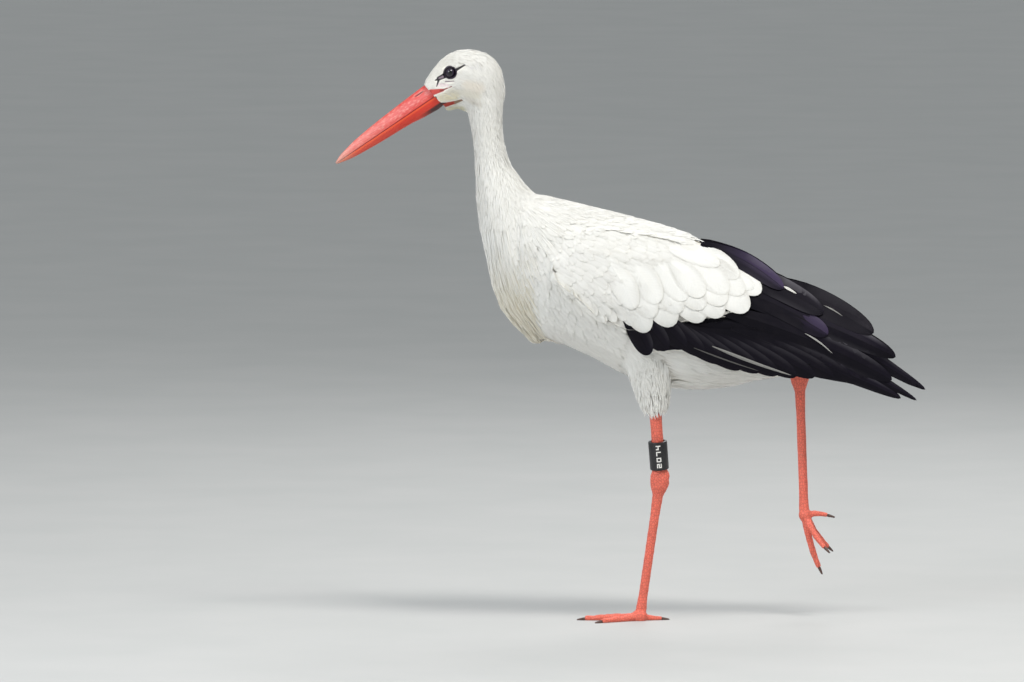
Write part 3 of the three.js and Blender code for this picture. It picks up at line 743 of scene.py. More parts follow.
def plain_shade(spine, along, rng, base=WHITE, root=SKIN_WHITE, vary=0.035):
    """White feathers: a little darker at the root, each with its own slight tone."""
    feathers = len(spine)
    tone = 1 + vary * (rng.random((feathers, 1, 1)) * 2 - 1)
    blend = ease(along, 0.0, 0.5)[None, :, None]
    return (np.array(root) * (1 - blend) + np.array(base) * blend) * tone


def face_shade(spine, along, rng):
    """White, with creamy and greyish feathers in places on the face; some of the grey is a painted shadow in stripes
    low on the cheek, and a greenish cream under the chin is a painted reflection.
    """
    tint = plain_shade(spine, along, rng)
    for start, end, radius, shade, strength in FACE_TINTS:
        away = to_segment(spine[:, 0], start, end)[0]
        share = (strength * ease(-away, -radius * 1.5, -radius * 0.3))[:, None, None]
        tint = tint * (1 - share) + np.array(shade) * share
    return tint


def breast_shade(spine, along, rng):
    """White above; the long plumes of the lower front breast, where shade falls, are creamy with tan streaks, partly
    their own tone and partly painted shade.
    """
    x, _, z = (spine[:, :1] / MM).transpose(2, 0, 1)
    # Painted shade in part: cream and tan grow towards the lower front, where shade falls on the breast.
    share = (ease(-z, -600, -480) * ease(-x, 118, 165))[..., None]
    streak = rng.random((len(spine), 1, 1)) ** 2
    pale = plain_shade(spine, along, rng)
    cream = np.array(CREAM) * (1 - streak) + np.array(PLUME_SHADE_TAN) * streak
    return pale * (1 - share) + cream * share


# ---------------------------------------------------------------- materials
def new_material(name):
    material = bpy.data.materials.new(name)
    material.use_nodes = True
    return material, material.node_tree, material.node_tree.nodes["Principled BSDF"]


def add_node(tree, kind, settings=None, inputs=None):
    """Adds a shader node, sets its settings and values, and links what is given as a socket."""
    node = tree.nodes.new(kind)
    for key, value in (settings or {}).items():
        setattr(node, key, value)
    for key, value in (inputs or {}).items():
        if isinstance(value, bpy.types.NodeSocket):
            tree.links.new(value, node.inputs[key])
        else:
            node.inputs[key].default_value = value
    return node


def set_shader(tree, shader, values):
    for key, value in values.items():
        if isinstance(value, bpy.types.NodeSocket):
            tree.links.new(value, shader.inputs[key])
        else:
            shader.inputs[key].default_value = value


def math_node(tree, operation, a, b=0.0, c=0.0, clamp=False):
    settings = {"operation": operation, "use_clamp": clamp}
    return add_node(tree, "ShaderNodeMath", settings, {0: a, 1: b, 2: c}).outputs[0]


def mix_colour(tree, share, a, b, blend="MIX"):
    settings = {"data_type": "RGBA", "blend_type": blend, "clamp_factor": True}
    return add_node(tree, "ShaderNodeMix", settings, {0: share, 6: a, 7: b}).outputs[2]


def ramp(tree, value, low, high):
    """From 0 to 1 between two values."""
    settings = {"clamp": True}
    inputs = {"Value": value, "From Min": low, "From Max": high, "To Min": 0.0, "To Max": 1.0}
    return add_node(tree, "ShaderNodeMapRange", settings, inputs).outputs[0]


def solid_noise(tree, size_mm, detail=3.0, rough=0.55):
    """Noise in the piece's own place, with features of a size in millimetres."""
    where = add_node(tree, "ShaderNodeTexCoord").outputs["Object"]
    inputs = {"Vector": where, "Scale": 1 / (size_mm * MM), "Detail": detail, "Roughness": rough}
    return add_node(tree, "ShaderNodeTexNoise", None, inputs).outputs["Fac"]


def marking_colour(tree):
    return add_node(tree, "ShaderNodeAttribute", {"attribute_name": "Marking"}).outputs["Color"]


def bump(tree, height, distance_mm, strength=0.6, normal=None):
    inputs = {"Height": height, "Distance": distance_mm * MM, "Strength": strength}
    if normal is not None:
        inputs["Normal"] = normal
    return add_node(tree, "ShaderNodeBump", None, inputs).outputs["Normal"]


def barb_pattern(tree, barbs):
    """Fine slanted barbs on both sides of the shaft, from the feather's own map."""
    place_on = add_node(tree, "ShaderNodeUVMap", {"uv_map": "Vane"}).outputs["UV"]
    parts = add_node(tree, "ShaderNodeSeparateXYZ", None, {0: place_on}).outputs
    side = math_node(tree, "ABSOLUTE", math_node(tree, "SUBTRACT", parts[0], 0.5))
    slant = math_node(tree, "MULTIPLY_ADD", side, -0.35, parts[1])
    wave = math_node(tree, "SINE", math_node(tree, "MULTIPLY", slant, barbs * 2 * math.pi))
    return math_node(tree, "MULTIPLY_ADD", wave, 0.5, 0.5), side


def white_plumage():
    """White vanes: matt, with the soft glow of down under them and faint barbs."""
    material, tree, shader = new_material("White plumage")
    barbs, side = barb_pattern(tree, 16)
    cloud = solid_noise(tree, 28, 4.0)
    tone = mix_colour(tree, ramp(tree, cloud, 0.35, 0.75), marking_colour(tree), (0.78, 0.76, 0.69, 1), "MULTIPLY")
    base = mix_colour(tree, 0.16, marking_colour(tree), tone)
    base = mix_colour(tree, math_node(tree, "MULTIPLY", barbs, 0.07), base, (0.70, 0.69, 0.66, 1))
    height = math_node(tree, "MULTIPLY_ADD", barbs, 0.5, solid_noise(tree, 1.4, 2.0))
    values = {
        "Base Color": base,
        "Roughness": 0.82,
        "Specular IOR Level": 0.25,
        "Sheen Weight": 0.25,
        "Sheen Roughness": 0.6,
        "Subsurface Weight": 0.3,
        "Subsurface Radius": (0.006, 0.0055, 0.005),
        "Subsurface Scale": 0.6,
        "Normal": bump(tree, height, 0.18, 0.5),
    }
    set_shader(tree, shader, values)
    return material


def black_plumage():
    """Flight feathers: dark and close, with a satin gloss of faintly purple tint; the stronger purple in their marking
    is a painted sheen.
    """
    material, tree, shader = new_material("Black plumage")
    barbs, side = barb_pattern(tree, 60)
    wear = ramp(tree, solid_noise(tree, 16, 4.0), 0.45, 0.8)
    base = mix_colour(tree, math_node(tree, "MULTIPLY", wear, 0.16), marking_colour(tree), (0.022, 0.018, 0.020, 1))
    shaft = math_node(tree, "LESS_THAN", side, 0.03)
    base = mix_colour(tree, math_node(tree, "MULTIPLY", shaft, 0.5), base, (0.004, 0.004, 0.005, 1))
    rough = math_node(tree, "MULTIPLY_ADD", wear, 0.18, 0.42)
    height = math_node(tree, "MULTIPLY_ADD", barbs, 0.6, solid_noise(tree, 1.8, 2.0))
    values = {
        "Base Color": base,
        "Roughness": rough,
        "Specular IOR Level": 0.09,
        "Specular Tint": (0.9, 0.84, 1.0, 1),
        "Normal": bump(tree, height, 0.14, 0.5),
    }
    set_shader(tree, shader, values)
    return material


def skin_under_coat():
    """Pale skin and down that shows only where the feathers part."""
    material, tree, shader = new_material("Downy skin")
    base = mix_colour(tree, ramp(tree, solid_noise(tree, 5, 5.0), 0.3, 0.8), marking_colour(tree), (0.6, 0.58, 0.53, 1))
    values = {
        "Base Color": mix_colour(tree, 0.3, marking_colour(tree), base),
        "Roughness": 0.95,
        "Normal": bump(tree, solid_noise(tree, 1.6, 4.0), 0.5, 0.6),
    }
    set_shader(tree, shader, values)
    return material


def cells(tree, size_mm, squash=(1, 1, 1), edges=True):
    """Rounded plates: how far each place is from the border between two of them."""
    where = add_node(tree, "ShaderNodeTexCoord").outputs["Object"]
    scaled = add_node(tree, "ShaderNodeMapping", None, {"Vector": where, "Scale": squash}).outputs[0]
    settings = {"feature": "DISTANCE_TO_EDGE" if edges else "F1"}
    inputs = {"Vector": scaled, "Scale": 1 / (size_mm * MM), "Randomness": 0.72}
    node = add_node(tree, "ShaderNodeTexVoronoi", settings, inputs)
    return node.outputs["Distance"]


def scaled_leg():
    """Orange-red leg skin in small raised plates, with painted shade darkening the grooves between them and paler dust
    in patches.
    """
    material, tree, shader = new_material("Scaled leg skin")
    edge = cells(tree, 3.4, (1, 1, 0.8))
    crease_shade = math_node(tree, "SUBTRACT", 1.0, ramp(tree, edge, 0.02, 0.13))
    patch = ramp(tree, solid_noise(tree, 22, 4.0), 0.35, 0.7)
    base = mix_colour(tree, math_node(tree, "MULTIPLY", patch, 0.35), marking_colour(tree), (0.60, 0.125, 0.075, 1))
    # painted shade: the grooves between the plates darkened
    base = mix_colour(tree, math_node(tree, "MULTIPLY", crease_shade, 0.45), base, (0.26, 0.05, 0.04, 1))
    dust = ramp(tree, solid_noise(tree, 7, 6.0), 0.62, 0.8)
    base = mix_colour(tree, math_node(tree, "MULTIPLY", dust, 0.22), base, (0.62, 0.42, 0.33, 1))
    plates = bump(tree, ramp(tree, edge, 0.0, 0.2), 0.42, 0.9)
    values = {
        "Base Color": base,
        "Roughness": math_node(tree, "MULTIPLY_ADD", crease_shade, 0.22, 0.46),
        "Subsurface Weight": 0.06,
        "Subsurface Radius": (0.003, 0.001, 0.0006),
        "Subsurface Scale": 0.5,
        "Normal": bump(tree, solid_noise(tree, 0.9, 3.0), 0.08, 0.5, plates),
    }
    set_shader(tree, shader, values)
    return material


def bare_face_skin():
    """Dark pebbled skin round the eye, and the red-brown skin of the chin, with painted shade darkening the grooves
    between the pebbles.
    """
    material, tree, shader = new_material("Bare face skin")
    edge = cells(tree, 1.1)
    crease_shade = math_node(tree, "SUBTRACT", 1.0, ramp(tree, edge, 0.02, 0.2))
    # painted shade: the grooves between the pebbles darkened
    wear_and_crease_shade = math_node(tree, "MULTIPLY", crease_shade, 0.45)
    base = mix_colour(tree, wear_and_crease_shade, marking_colour(tree), (0.45, 0.38, 0.40, 1), "MULTIPLY")
    values = {
        "Base Color": base,
        "Roughness": 0.55,
        "Normal": bump(tree, ramp(tree, edge, 0.0, 0.25), 0.22, 0.8),
    }
    set_shader(tree, shader, values)
    return material


def bill_place(tree):
    """Places along, across and above the bill's own line, in millimetres."""
    where = add_node(tree, "ShaderNodeTexCoord").outputs["Object"]
    inputs = {
        "Vector": where,
        "Location": tuple(-c * MM for c in (BILL_TIP[0], MIDLINE, BILL_TIP[1])),
    }
    moved = add_node(tree, "ShaderNodeMapping", {"vector_type": "POINT"}, inputs).outputs[0]
    parts = add_node(tree, "ShaderNodeSeparateXYZ", None, {0: moved}).outputs
    slope = math.radians(BILL_SLOPE)
    cos, sin = math.cos(slope) / MM, math.sin(slope) / MM
    along = math_node(tree, "MULTIPLY_ADD", parts[0], cos, math_node(tree, "MULTIPLY", parts[2], sin))
    above = math_node(tree, "MULTIPLY_ADD", parts[2], cos, math_node(tree, "MULTIPLY", parts[0], -sin))
    return along, math_node(tree, "MULTIPLY", parts[1], 1 / MM), above


def horny_bill():
    """Waxy red horn: pinkish on top, more orange below, paler at the tip, finely grained along it. The nostril's
    opening is painted shade, and the pale mottle on top is partly painted highlight.
    """
    material, tree, shader = new_material("Horny bill")
    along, across, above = bill_place(tree)
    upper = mix_colour(tree, ramp(tree, along, 20, 120), (*colour("#d9746a"), 1), (*colour("#cd4740"), 1))
    lower = mix_colour(tree, ramp(tree, along, 15, 110), (*colour("#da5540"), 1), (*colour("#d63620"), 1))
    base = mix_colour(tree, ramp(tree, above, -0.6, 0.6), lower, upper)
    ridge = math_node(tree, "SUBTRACT", 1.0, ramp(tree, math_node(tree, "ABSOLUTE", math_node(tree, "ADD", above, 2.2)), 0.3, 1.3))
    base = mix_colour(tree, math_node(tree, "MULTIPLY", ridge, 0.4), base, (*colour("#e8743a"), 1))
    line = math_node(tree, "SUBTRACT", 1.0, ramp(tree, math_node(tree, "ABSOLUTE", above), 0.15, 0.9))
    base = mix_colour(tree, math_node(tree, "MULTIPLY", line, 0.75), base, (*colour("#5c1f1a"), 1))
    tip = math_node(tree, "SUBTRACT", 1.0, ramp(tree, along, 2, 34))
    base = mix_colour(tree, math_node(tree, "MULTIPLY", tip, 0.6), base, (*colour("#c9a08c"), 1))
    where = add_node(tree, "ShaderNodeCombineXYZ", None, {0: math_node(tree, "MULTIPLY", along, 0.05), 1: across, 2: above})
    grain = add_node(tree, "ShaderNodeTexNoise", None, {"Vector": where.outputs[0], "Scale": 1.1, "Detail": 5.0}).outputs["Fac"]
    base = mix_colour(tree, math_node(tree, "MULTIPLY", ramp(tree, grain, 0.5, 0.75), 0.3), base, (*colour("#8d2a24"), 1))
    flake = add_node(tree, "ShaderNodeCombineXYZ", None, {0: math_node(tree, "MULTIPLY", along, 0.3), 1: across, 2: above})
    flakes = add_node(tree, "ShaderNodeTexNoise", None, {"Vector": flake.outputs[0], "Scale": 0.55, "Detail": 6.0}).outputs["Fac"]
    # pale pink mottle on top: partly the horn's own paler patches, partly painted highlight
    mottle_and_highlight = math_node(tree, "MULTIPLY", ramp(tree, flakes, 0.5, 0.68), ramp(tree, above, 0, 3))
    base = mix_colour(tree, math_node(tree, "MULTIPLY", mottle_and_highlight, 0.42), base, (*colour("#eaa99c"), 1))
    slot_along = math_node(tree, "DIVIDE", math_node(tree, "SUBTRACT", along, NOSTRIL[0]), NOSTRIL[2])
    slot_above = math_node(tree, "DIVIDE", math_node(tree, "SUBTRACT", above, NOSTRIL[1]), NOSTRIL[3])
    away = math_node(tree, "SQRT", math_node(tree, "ADD", math_node(tree, "POWER", slot_along, 2.0), math_node(tree, "POWER", slot_above, 2.0)))
    slit = math_node(tree, "SUBTRACT", 1.0, ramp(tree, away, 0.75, 1.1))
    # painted shade: the nostril's opening painted near-black
    base = mix_colour(tree, math_node(tree, "MULTIPLY", slit, 0.93), base, (0.012, 0.004, 0.004, 1))
    under = math_node(tree, "SUBTRACT", -10.5, above)
    chin = math_node(tree, "MULTIPLY", ramp(tree, along, 132, 152), ramp(tree, under, 0.0, 2.0))
    base = mix_colour(tree, math_node(tree, "MULTIPLY", chin, 0.92), base, (0.016, 0.013, 0.015, 1))
    values = {
        "Base Color": base,
        "Roughness": math_node(tree, "MULTIPLY_ADD", grain, 0.16, 0.32),
        "Coat Weight": 0.12,
        "Coat Roughness": 0.35,
        "Subsurface Weight": 0.08,
        "Subsurface Radius": (0.004, 0.0012, 0.0008),
        "Subsurface Scale": 0.5,
        "Normal": bump(tree, grain, 0.22, 0.45),
    }
    set_shader(tree, shader, values)
    return material


def eye_surface():
    """A wet dark eye: a black pupil in a deep brown iris under a clear, glossy cornea."""
    material, tree, shader = new_material("Eye gloss")
    where = add_node(tree, "ShaderNodeTexCoord").outputs["Object"]
    parts = add_node(tree, "ShaderNodeSeparateXYZ", None, {0: where}).outputs
    across = math_node(tree, "SUBTRACT", parts[0], EYE[0] * MM)
    above = math_node(tree, "SUBTRACT", parts[2], EYE[1] * MM)
    away = math_node(tree, "SQRT", math_node(tree, "ADD", math_node(tree, "POWER", across, 2.0), math_node(tree, "POWER", above, 2.0)))
    iris = ramp(tree, away, 2.9 * MM, 3.25 * MM)
    rim = ramp(tree, away, 5.3 * MM, 6.2 * MM)
    streak = ramp(tree, solid_noise(tree, 0.7, 3.0), 0.3, 0.8)
    brown = mix_colour(tree, streak, (0.009, 0.004, 0.014, 1), (0.022, 0.010, 0.032, 1))
    base = mix_colour(tree, iris, (0.001, 0.001, 0.001, 1), brown)
    base = mix_colour(tree, rim, base, (0.006, 0.004, 0.004, 1))
    values = {
        "Base Color": base,
        "Roughness": 0.08,
        "Specular IOR Level": 0.35,
        "Coat Weight": 0.5,
        "Coat Roughness": 0.02,
    }
    set_shader(tree, shader, values)
    return material


def claw_horn():
    """Dark brown horn with a paler mottle."""
    material, tree, shader = new_material("Claw horn")
    grain = solid_noise(tree, 1.5, 5.0)
    base = mix_colour(tree, ramp(tree, grain, 0.35, 0.7), (*colour("#2e211d"), 1), (*colour("#6b4a3f"), 1))
    values = {"Base Color": base, "Roughness": 0.42, "Normal": bump(tree, grain, 0.1, 0.5)}
    set_shader(tree, shader, values)
    return material


def ring_plastic():
    """Black moulded plastic, dulled and finely scratched by use."""
    material, tree, shader = new_material("Ring plastic")
    scuff = ramp(tree, solid_noise(tree, 2.4, 7.0, 0.7), 0.5, 0.75)
    base = mix_colour(tree, math_node(tree, "MULTIPLY", scuff, 0.5), (*colour("#1b1b1d"), 1), (*colour("#4d4b48"), 1))
    values = {
        "Base Color": base,
        "Roughness": math_node(tree, "MULTIPLY_ADD", scuff, 0.2, 0.34),
        "Normal": bump(tree, scuff, 0.05, 0.4),
    }
    set_shader(tree, shader, values)
    return material


def ring_numeral():
    """White engraved filling, slightly dirty."""
    material, tree, shader = new_material("Ring numeral plastic")
    dirt = ramp(tree, solid_noise(tree, 1.6, 5.0), 0.5, 0.8)
    base = mix_colour(tree, math_node(tree, "MULTIPLY", dirt, 0.4), (*colour("#eceae4"), 1), (*colour("#a39d90"), 1))
    set_shader(tree, shader, {"Base Color": base, "Roughness": 0.5})
    return material


def pale_floor():
    """Plain pale board with a hardly visible mottle."""
    material, tree, shader = new_material("Pale floor")
    mottle = solid_noise(tree, 240, 3.0)
    base = mix_colour(tree, ramp(tree, mottle, 0.3, 0.7), (0.50, 0.505, 0.495, 1), (0.53, 0.53, 0.52, 1))
    set_shader(tree, shader, {"Base Color": base, "Roughness": 0.7})
    return material


MATERIALS = {}
MAKERS = {
    "white": white_plumage,
    "black": black_plumage,
    "skin": skin_under_coat,
    "leg": scaled_leg,
    "face": bare_face_skin,
    "bill": horny_bill,
    "eye": eye_surface,
    "claw": claw_horn,
    "ring": ring_plastic,
    "numeral": ring_numeral,
    "floor": pale_floor,
}


def material_of(name):
    if name not in MATERIALS:
        MATERIALS[name] = MAKERS[name]()
    return MATERIALS[name]


# ---------------------------------------------------------------- skin
EYE_OUT = 16.0
EYE_RADIUS = 8.2


def spread_values(mesh, values, rounds):
    """Blends a value over a mesh from point to point."""
    edges = read_edges(mesh)
    ends = np.concatenate([edges[:, 0], edges[:, 1]])
    others = np.concatenate([edges[:, 1], edges[:, 0]])
    count = np.maximum(np.bincount(ends, minlength=len(values)), 1)
    for _ in range(rounds):
        mean = np.bincount(ends, values[others], len(values)) / count
        values = (values + mean) / 2
    return values


def coat_depth(points):
    """How deep the skin lies under the tips of its feathers, in millimetres."""
    x, y, z = points.T / MM
    head = 0.7 + 1.7 * ease(x, -290, -235)
    edge = ease(x, 45, 80) * ease(z, 392, 412) * ease(-z, -475, -445) * ease(np.abs(y - MIDLINE), 40, 55)
    neck = 3.4
    breast = 6.0
    trunk = 4.2
    depth = trunk + (breast - trunk) * ease(-x, 60, 150) + 4.5 * edge
    depth = depth + (neck - depth) * ease(z, 590, 650)
    return depth + (head - depth) * ease(z, 690, 740)


def refine(obj, wanted):
    """Splits the faces whose middles are wanted into four."""
    in_edit_mode(obj)
    bpy.ops.mesh.select_mode(type="FACE")
    bpy.ops.mesh.select_all(action="DESELECT")
    in_object_mode()
    mesh = obj.data
    middles = np.empty(len(mesh.polygons) * 3)
    mesh.polygons.foreach_get("center", middles)
    chosen = wanted(middles.reshape(-1, 3))
    mesh.polygons.foreach_set("select", chosen)
    bpy.ops.object.mode_set(mode="EDIT")
    bpy.ops.mesh.subdivide(number_cuts=1)
    bpy.ops.mesh.select_mode(type="VERT")
    in_object_mode()


def thin_out(obj, wanted, ratio):
    """Leaves only a share of the faces whose middles are wanted."""
    in_edit_mode(obj)
    bpy.ops.mesh.select_mode(type="FACE")
    bpy.ops.mesh.select_all(action="DESELECT")
    in_object_mode()
    mesh = obj.data
    mesh.polygons.foreach_set("select", wanted(face_middles(mesh)))
    bpy.ops.object.mode_set(mode="EDIT")
    bpy.ops.mesh.decimate(ratio=ratio)
    bpy.ops.mesh.select_mode(type="VERT")
    in_object_mode()


def round_the_eye(points, reach):
    """Points on the head within reach of an eye's axis, in side view."""
    away = np.hypot(points[:, 0] / MM - EYE[0], points[:, 2] / MM - EYE[1])
    return away, away < reach


def sink_sockets(points):
    """Presses the skin in behind each eyeball."""
    away, close = round_the_eye(points, 11)
    side = np.sign(points[:, 1] - MIDLINE * MM)
    out = np.abs(points[:, 1] / MM - MIDLINE)
    floor = EYE_OUT - 6.0
    share = ease(-away, -8.8, -7.3)
    sunk = out + (np.minimum(out, floor) - out) * share
    points[:, 1] = np.where(close, (MIDLINE + side * sunk) * MM, points[:, 1])
    return points


def smooth_hocks(mesh):
    """Rounds the ankle joints that stand up in the shapes of the legs."""
    points = read_points(mesh) / MM
    away = np.min([np.linalg.norm(points - np.array(hock), axis=1) for hock in HOCKS], axis=0)
    relax(mesh, 16, ease(-away, -32, -20))
    points = read_points(mesh)
    points = points + read_normals(mesh) * (1.4 * ease(-away, -26, -8))[:, None] * MM
    write_points(mesh, points)


def taper_toes(mesh):
    """Draws the blunt ends of the toes in round the claws."""
    points = read_points(mesh)
    tree = solid_tree(CLAW_NODES)
    for index, point in enumerate(points):
        hit, _, _, away = tree.find_nearest(Vector(point), 7 * MM)
        if hit is not None:
            share = 0.6 * float(ease(-away / MM, -7, -1))
            points[index] += (np.array(hit) - point) * share
    write_points(mesh, points)


def make_skin(settings):
    """One skin without a seam under the whole coat."""
    obj = joined_solids("skin", SKIN_NODES, settings.voxel)
    mesh = obj.data
    legs = near(LEG_NODES, read_points(mesh), 2.2)
    relax(mesh, 8, np.where(legs, 0.75, 1.0))
    soften_nape(mesh)
    smooth_hocks(mesh)
    taper_toes(mesh)
    refine(obj, lambda middles: (middles[:, 2] > 0.69) | near(LEG_NODES, middles, 2.2))
    refine(obj, lambda middles: (middles[:, 2] > 0.70) & (middles[:, 0] < -0.238))
    refine(obj, lambda middles: round_the_eye(middles, 12)[1])
    face = lambda middles: (middles[:, 2] > 0.69) & (middles[:, 0] < -0.225)
    thin_out(obj, lambda middles: ~face(middles) & ~near(LEG_NODES, middles, 5.0), 0.14)
    thin_out(obj, lambda middles: near(LEG_NODES, middles, 2.2), 0.56)
    mesh = obj.data
    relax(mesh, 3)
    points = read_points(mesh)
    legs = near(LEG_NODES, points, 2.2)
    depth = spread_values(mesh, np.where(legs, 0.0, coat_depth(points) * settings.depth), 14)
    depth = np.where(legs, np.minimum(depth, 0.6), depth)
    points = points - read_normals(mesh) * depth[:, None] * MM
    points = sink_sockets(points)
    points[:, 2] = np.maximum(points[:, 2], 0.0002)
    write_points(mesh, points)
    mark_skin(mesh, points, legs)
    materials = [material_of(name) for name in ("skin", "leg", "face")]
    place(obj, materials, SKIN_NODES)
    paint_faces(mesh, points)
    mesh.shade_smooth()
    map_skin(mesh, points)
    return obj


def mark_skin(mesh, points, legs):
    bare, tints = bare_face(points)
    tints[legs] = LEG_RED
    shades = np.ones((len(points), 4))
    shades[:, :3] = tints
    attribute = mesh.color_attributes.new("Marking", "FLOAT_COLOR", "POINT")
    attribute.data.foreach_set("color", shades.ravel())


def face_middles(mesh):
    middles = np.empty(len(mesh.polygons) * 3)
    mesh.polygons.foreach_get("center", middles)
    return middles.reshape(-1, 3)


def paint_faces(mesh, points):
    """Scaled skin on the legs, bare skin on the face and downy skin elsewhere."""
    middles = face_middles(mesh)
    kind = np.where(near(LEG_NODES, middles, 3.0), 1, 0)
    bare, _ = bare_face(middles)
    kind = np.where(bare & (middles[:, 2] > 0.69), 2, kind)
    mesh.polygons.foreach_set("material_index", kind.astype(np.int32))


def map_skin(mesh, points):
    corners = np.empty(len(mesh.loops), dtype=np.int64)
    mesh.loops.foreach_get("vertex_index", corners)
    put_map(mesh, "OFBake", unwrapped(points)[corners])


# ---------------------------------------------------------------- bill, eyes, claws
BILL_TIP = (-424.0, 640.5)
BILL_SLOPE = 34.3
BILL_LENGTH = 178.0
# From the tip backwards: the culmen's height, the gonys's depth and half the width.
CULMEN = ([0, 5, 12, 36, 57, 80, 108, 130, 163, 190], [1.0, 3.6, 6.2, 11.3, 13.8, 15.9, 17.6, 18.9, 20.4, 18])
GONYS = (
    [0, 5, 12, 23, 42, 61, 80, 100, 119, 136, 161, 190],
    [0.9, 2.9, 4.6, 7, 8.9, 10.5, 11.7, 12.4, 13.6, 16.2, 18.6, 15],
)
BILL_HALF = ([0, 5, 12, 40, 80, 130, 163, 190], [0.9, 1.8, 2.7, 5, 7.4, 10, 11.6, 10.5])
# The nostril's middle along and above the bill's line, and half its length and height.
NOSTRIL = (150.5, 14.6, 8.2, 0.8)
BILL_STATIONS = [0, 1.5, 4, 8, 13, 20, 28, 38, 50, 62, 74, 86, 98, 110, 122, 132, 138, 142, 146, 150, 155, 160, 166, 172, 178]


def lofted(name, stations, count):
    """A closed tube along +Z: a circle extruded and resized from station to station.

    Each station is a height, half a width along X and half a height along Y.
    """
    z, half_x, half_y = stations[0]
    bpy.ops.object.select_all(action="DESELECT")
    bpy.ops.mesh.primitive_circle_add(vertices=count, radius=1, fill_type="NGON", location=(0, 0, 0))
    obj = bpy.context.active_object
    obj.name = name
    in_edit_mode(obj)
    bpy.ops.mesh.select_all(action="SELECT")
    bpy.ops.transform.resize(value=(half_x, half_y, 1), center_override=(0, 0, 0))
    bpy.ops.transform.translate(value=(0, 0, z))
    for next_z, next_x, next_y in stations[1:]:
        bpy.ops.mesh.extrude_region_move(TRANSFORM_OT_translate={"value": (0, 0, next_z - z)})
        size = (next_x / half_x, next_y / half_y, 1)
        bpy.ops.transform.resize(value=size, center_override=(0, 0, next_z))
        z, half_x, half_y = next_z, next_x, next_y
    bpy.ops.mesh.select_all(action="SELECT")
    bpy.ops.mesh.normals_make_consistent(inside=False)
    in_object_mode()
    return obj


def bill_half(name, edge, upper):
    """One half of the bill, cut flat where it meets the other."""
    stations = []
    for s in BILL_STATIONS:
        wide = float(np.interp(s, *BILL_HALF))
        tall = float(np.interp(s, *edge))
        stations.append((s * MM, wide * MM, tall * MM))
    obj = lofted(name, stations, 44)
    in_edit_mode(obj)
    bpy.ops.mesh.select_all(action="SELECT")
    gap = 0.22 * MM
    level = gap if upper else -gap
    bpy.ops.mesh.bisect(
        plane_co=(0, level, 0), plane_no=(0, 1, 0), use_fill=True, clear_inner=upper, clear_outer=not upper
    )
    bpy.ops.mesh.select_all(action="SELECT")
    bpy.ops.mesh.normals_make_consistent(inside=False)
    in_object_mode()
    mesh = obj.data
    points = read_points(mesh)
    shape_bill(points, edge, upper)
    write_points(mesh, points)
    slope = math.radians(BILL_SLOPE)
    way = np.array([math.cos(slope), 0, math.sin(slope)])
    up = np.array([-math.sin(slope), 0, math.cos(slope)])
    tip = np.array([BILL_TIP[0], MIDLINE, BILL_TIP[1]]) * MM
    side = np.array([0, 1, 0])
    write_points(mesh, tip + points[:, :1] * side + points[:, 1:2] * up + points[:, 2:] * way)
    mesh.shade_smooth()
    mesh.set_sharp_from_angle(angle=math.radians(40))
    return place(obj, [material_of("bill")], [name])


def shape_bill(points, edge, upper):
    """A narrow ridge on top, a hollow in front of the nostril and a rounded keel below."""
    s = points[:, 2] / MM
    tall = np.interp(s, *edge) * MM
    level = np.clip(np.abs(points[:, 1]) / tall, 0, 1)
    narrow = 0.22 if upper else 0.14
    points[:, 0] *= 1 - narrow * level**2 * ease(s, 10, 60)
    if upper:
        along = (s - NOSTRIL[0]) / (NOSTRIL[2] + 3)
        above = (points[:, 1] / MM - NOSTRIL[1]) / (NOSTRIL[3] + 2.2)
        dent = np.exp(-(along**2 + above**2) * 1.6)
        points[:, 0] -= np.sign(points[:, 0]) * dent * 1.3 * MM
        groove = np.exp(-(((s - 118) / 26) ** 2 + ((points[:, 1] / MM - 11) / 2.6) ** 2))
        points[:, 0] -= np.sign(points[:, 0]) * groove * 0.7 * MM
    else:
        ridge = np.exp(-(((points[:, 1] / MM + 3.0) / 1.5) ** 2)) * ease(s, 20, 60)
        points[:, 0] += np.sign(points[:, 0]) * ridge * 0.5 * MM


def make_bill(settings):
    bill_half_named("bill_upper", CULMEN, True)
    bill_half_named("bill_lower", GONYS, False)


def bill_half_named(node, edge, upper):
    obj = bill_half(node, edge, upper)
    obj.name = f"{node}_horn"
    return obj


def eyeball(side):
    """A glossy ball with a slightly raised cornea."""
    out = MIDLINE + SIDES[side] * EYE_OUT
    bpy.ops.object.select_all(action="DESELECT")
    bpy.ops.mesh.primitive_uv_sphere_add(segments=48, ring_count=28, radius=EYE_RADIUS * MM, location=(0, 0, 0))
    obj = bpy.context.active_object
    obj.name = f"eyeball_{side}"
    points = read_points(obj.data)
    points = points[:, [0, 2, 1]] * np.array([1, 1, -1])
    facing = points[:, 1] * SIDES[side] / (EYE_RADIUS * MM)
    points[:, 1] += SIDES[side] * 0.55 * MM * ease(facing, 0.72, 1.0)
    write_points(obj.data, points + np.array([EYE[0], out, EYE[1]]) * MM)
    obj.data.shade_smooth()
    return place(obj, [material_of("eye")], [f"eye_{side}"])


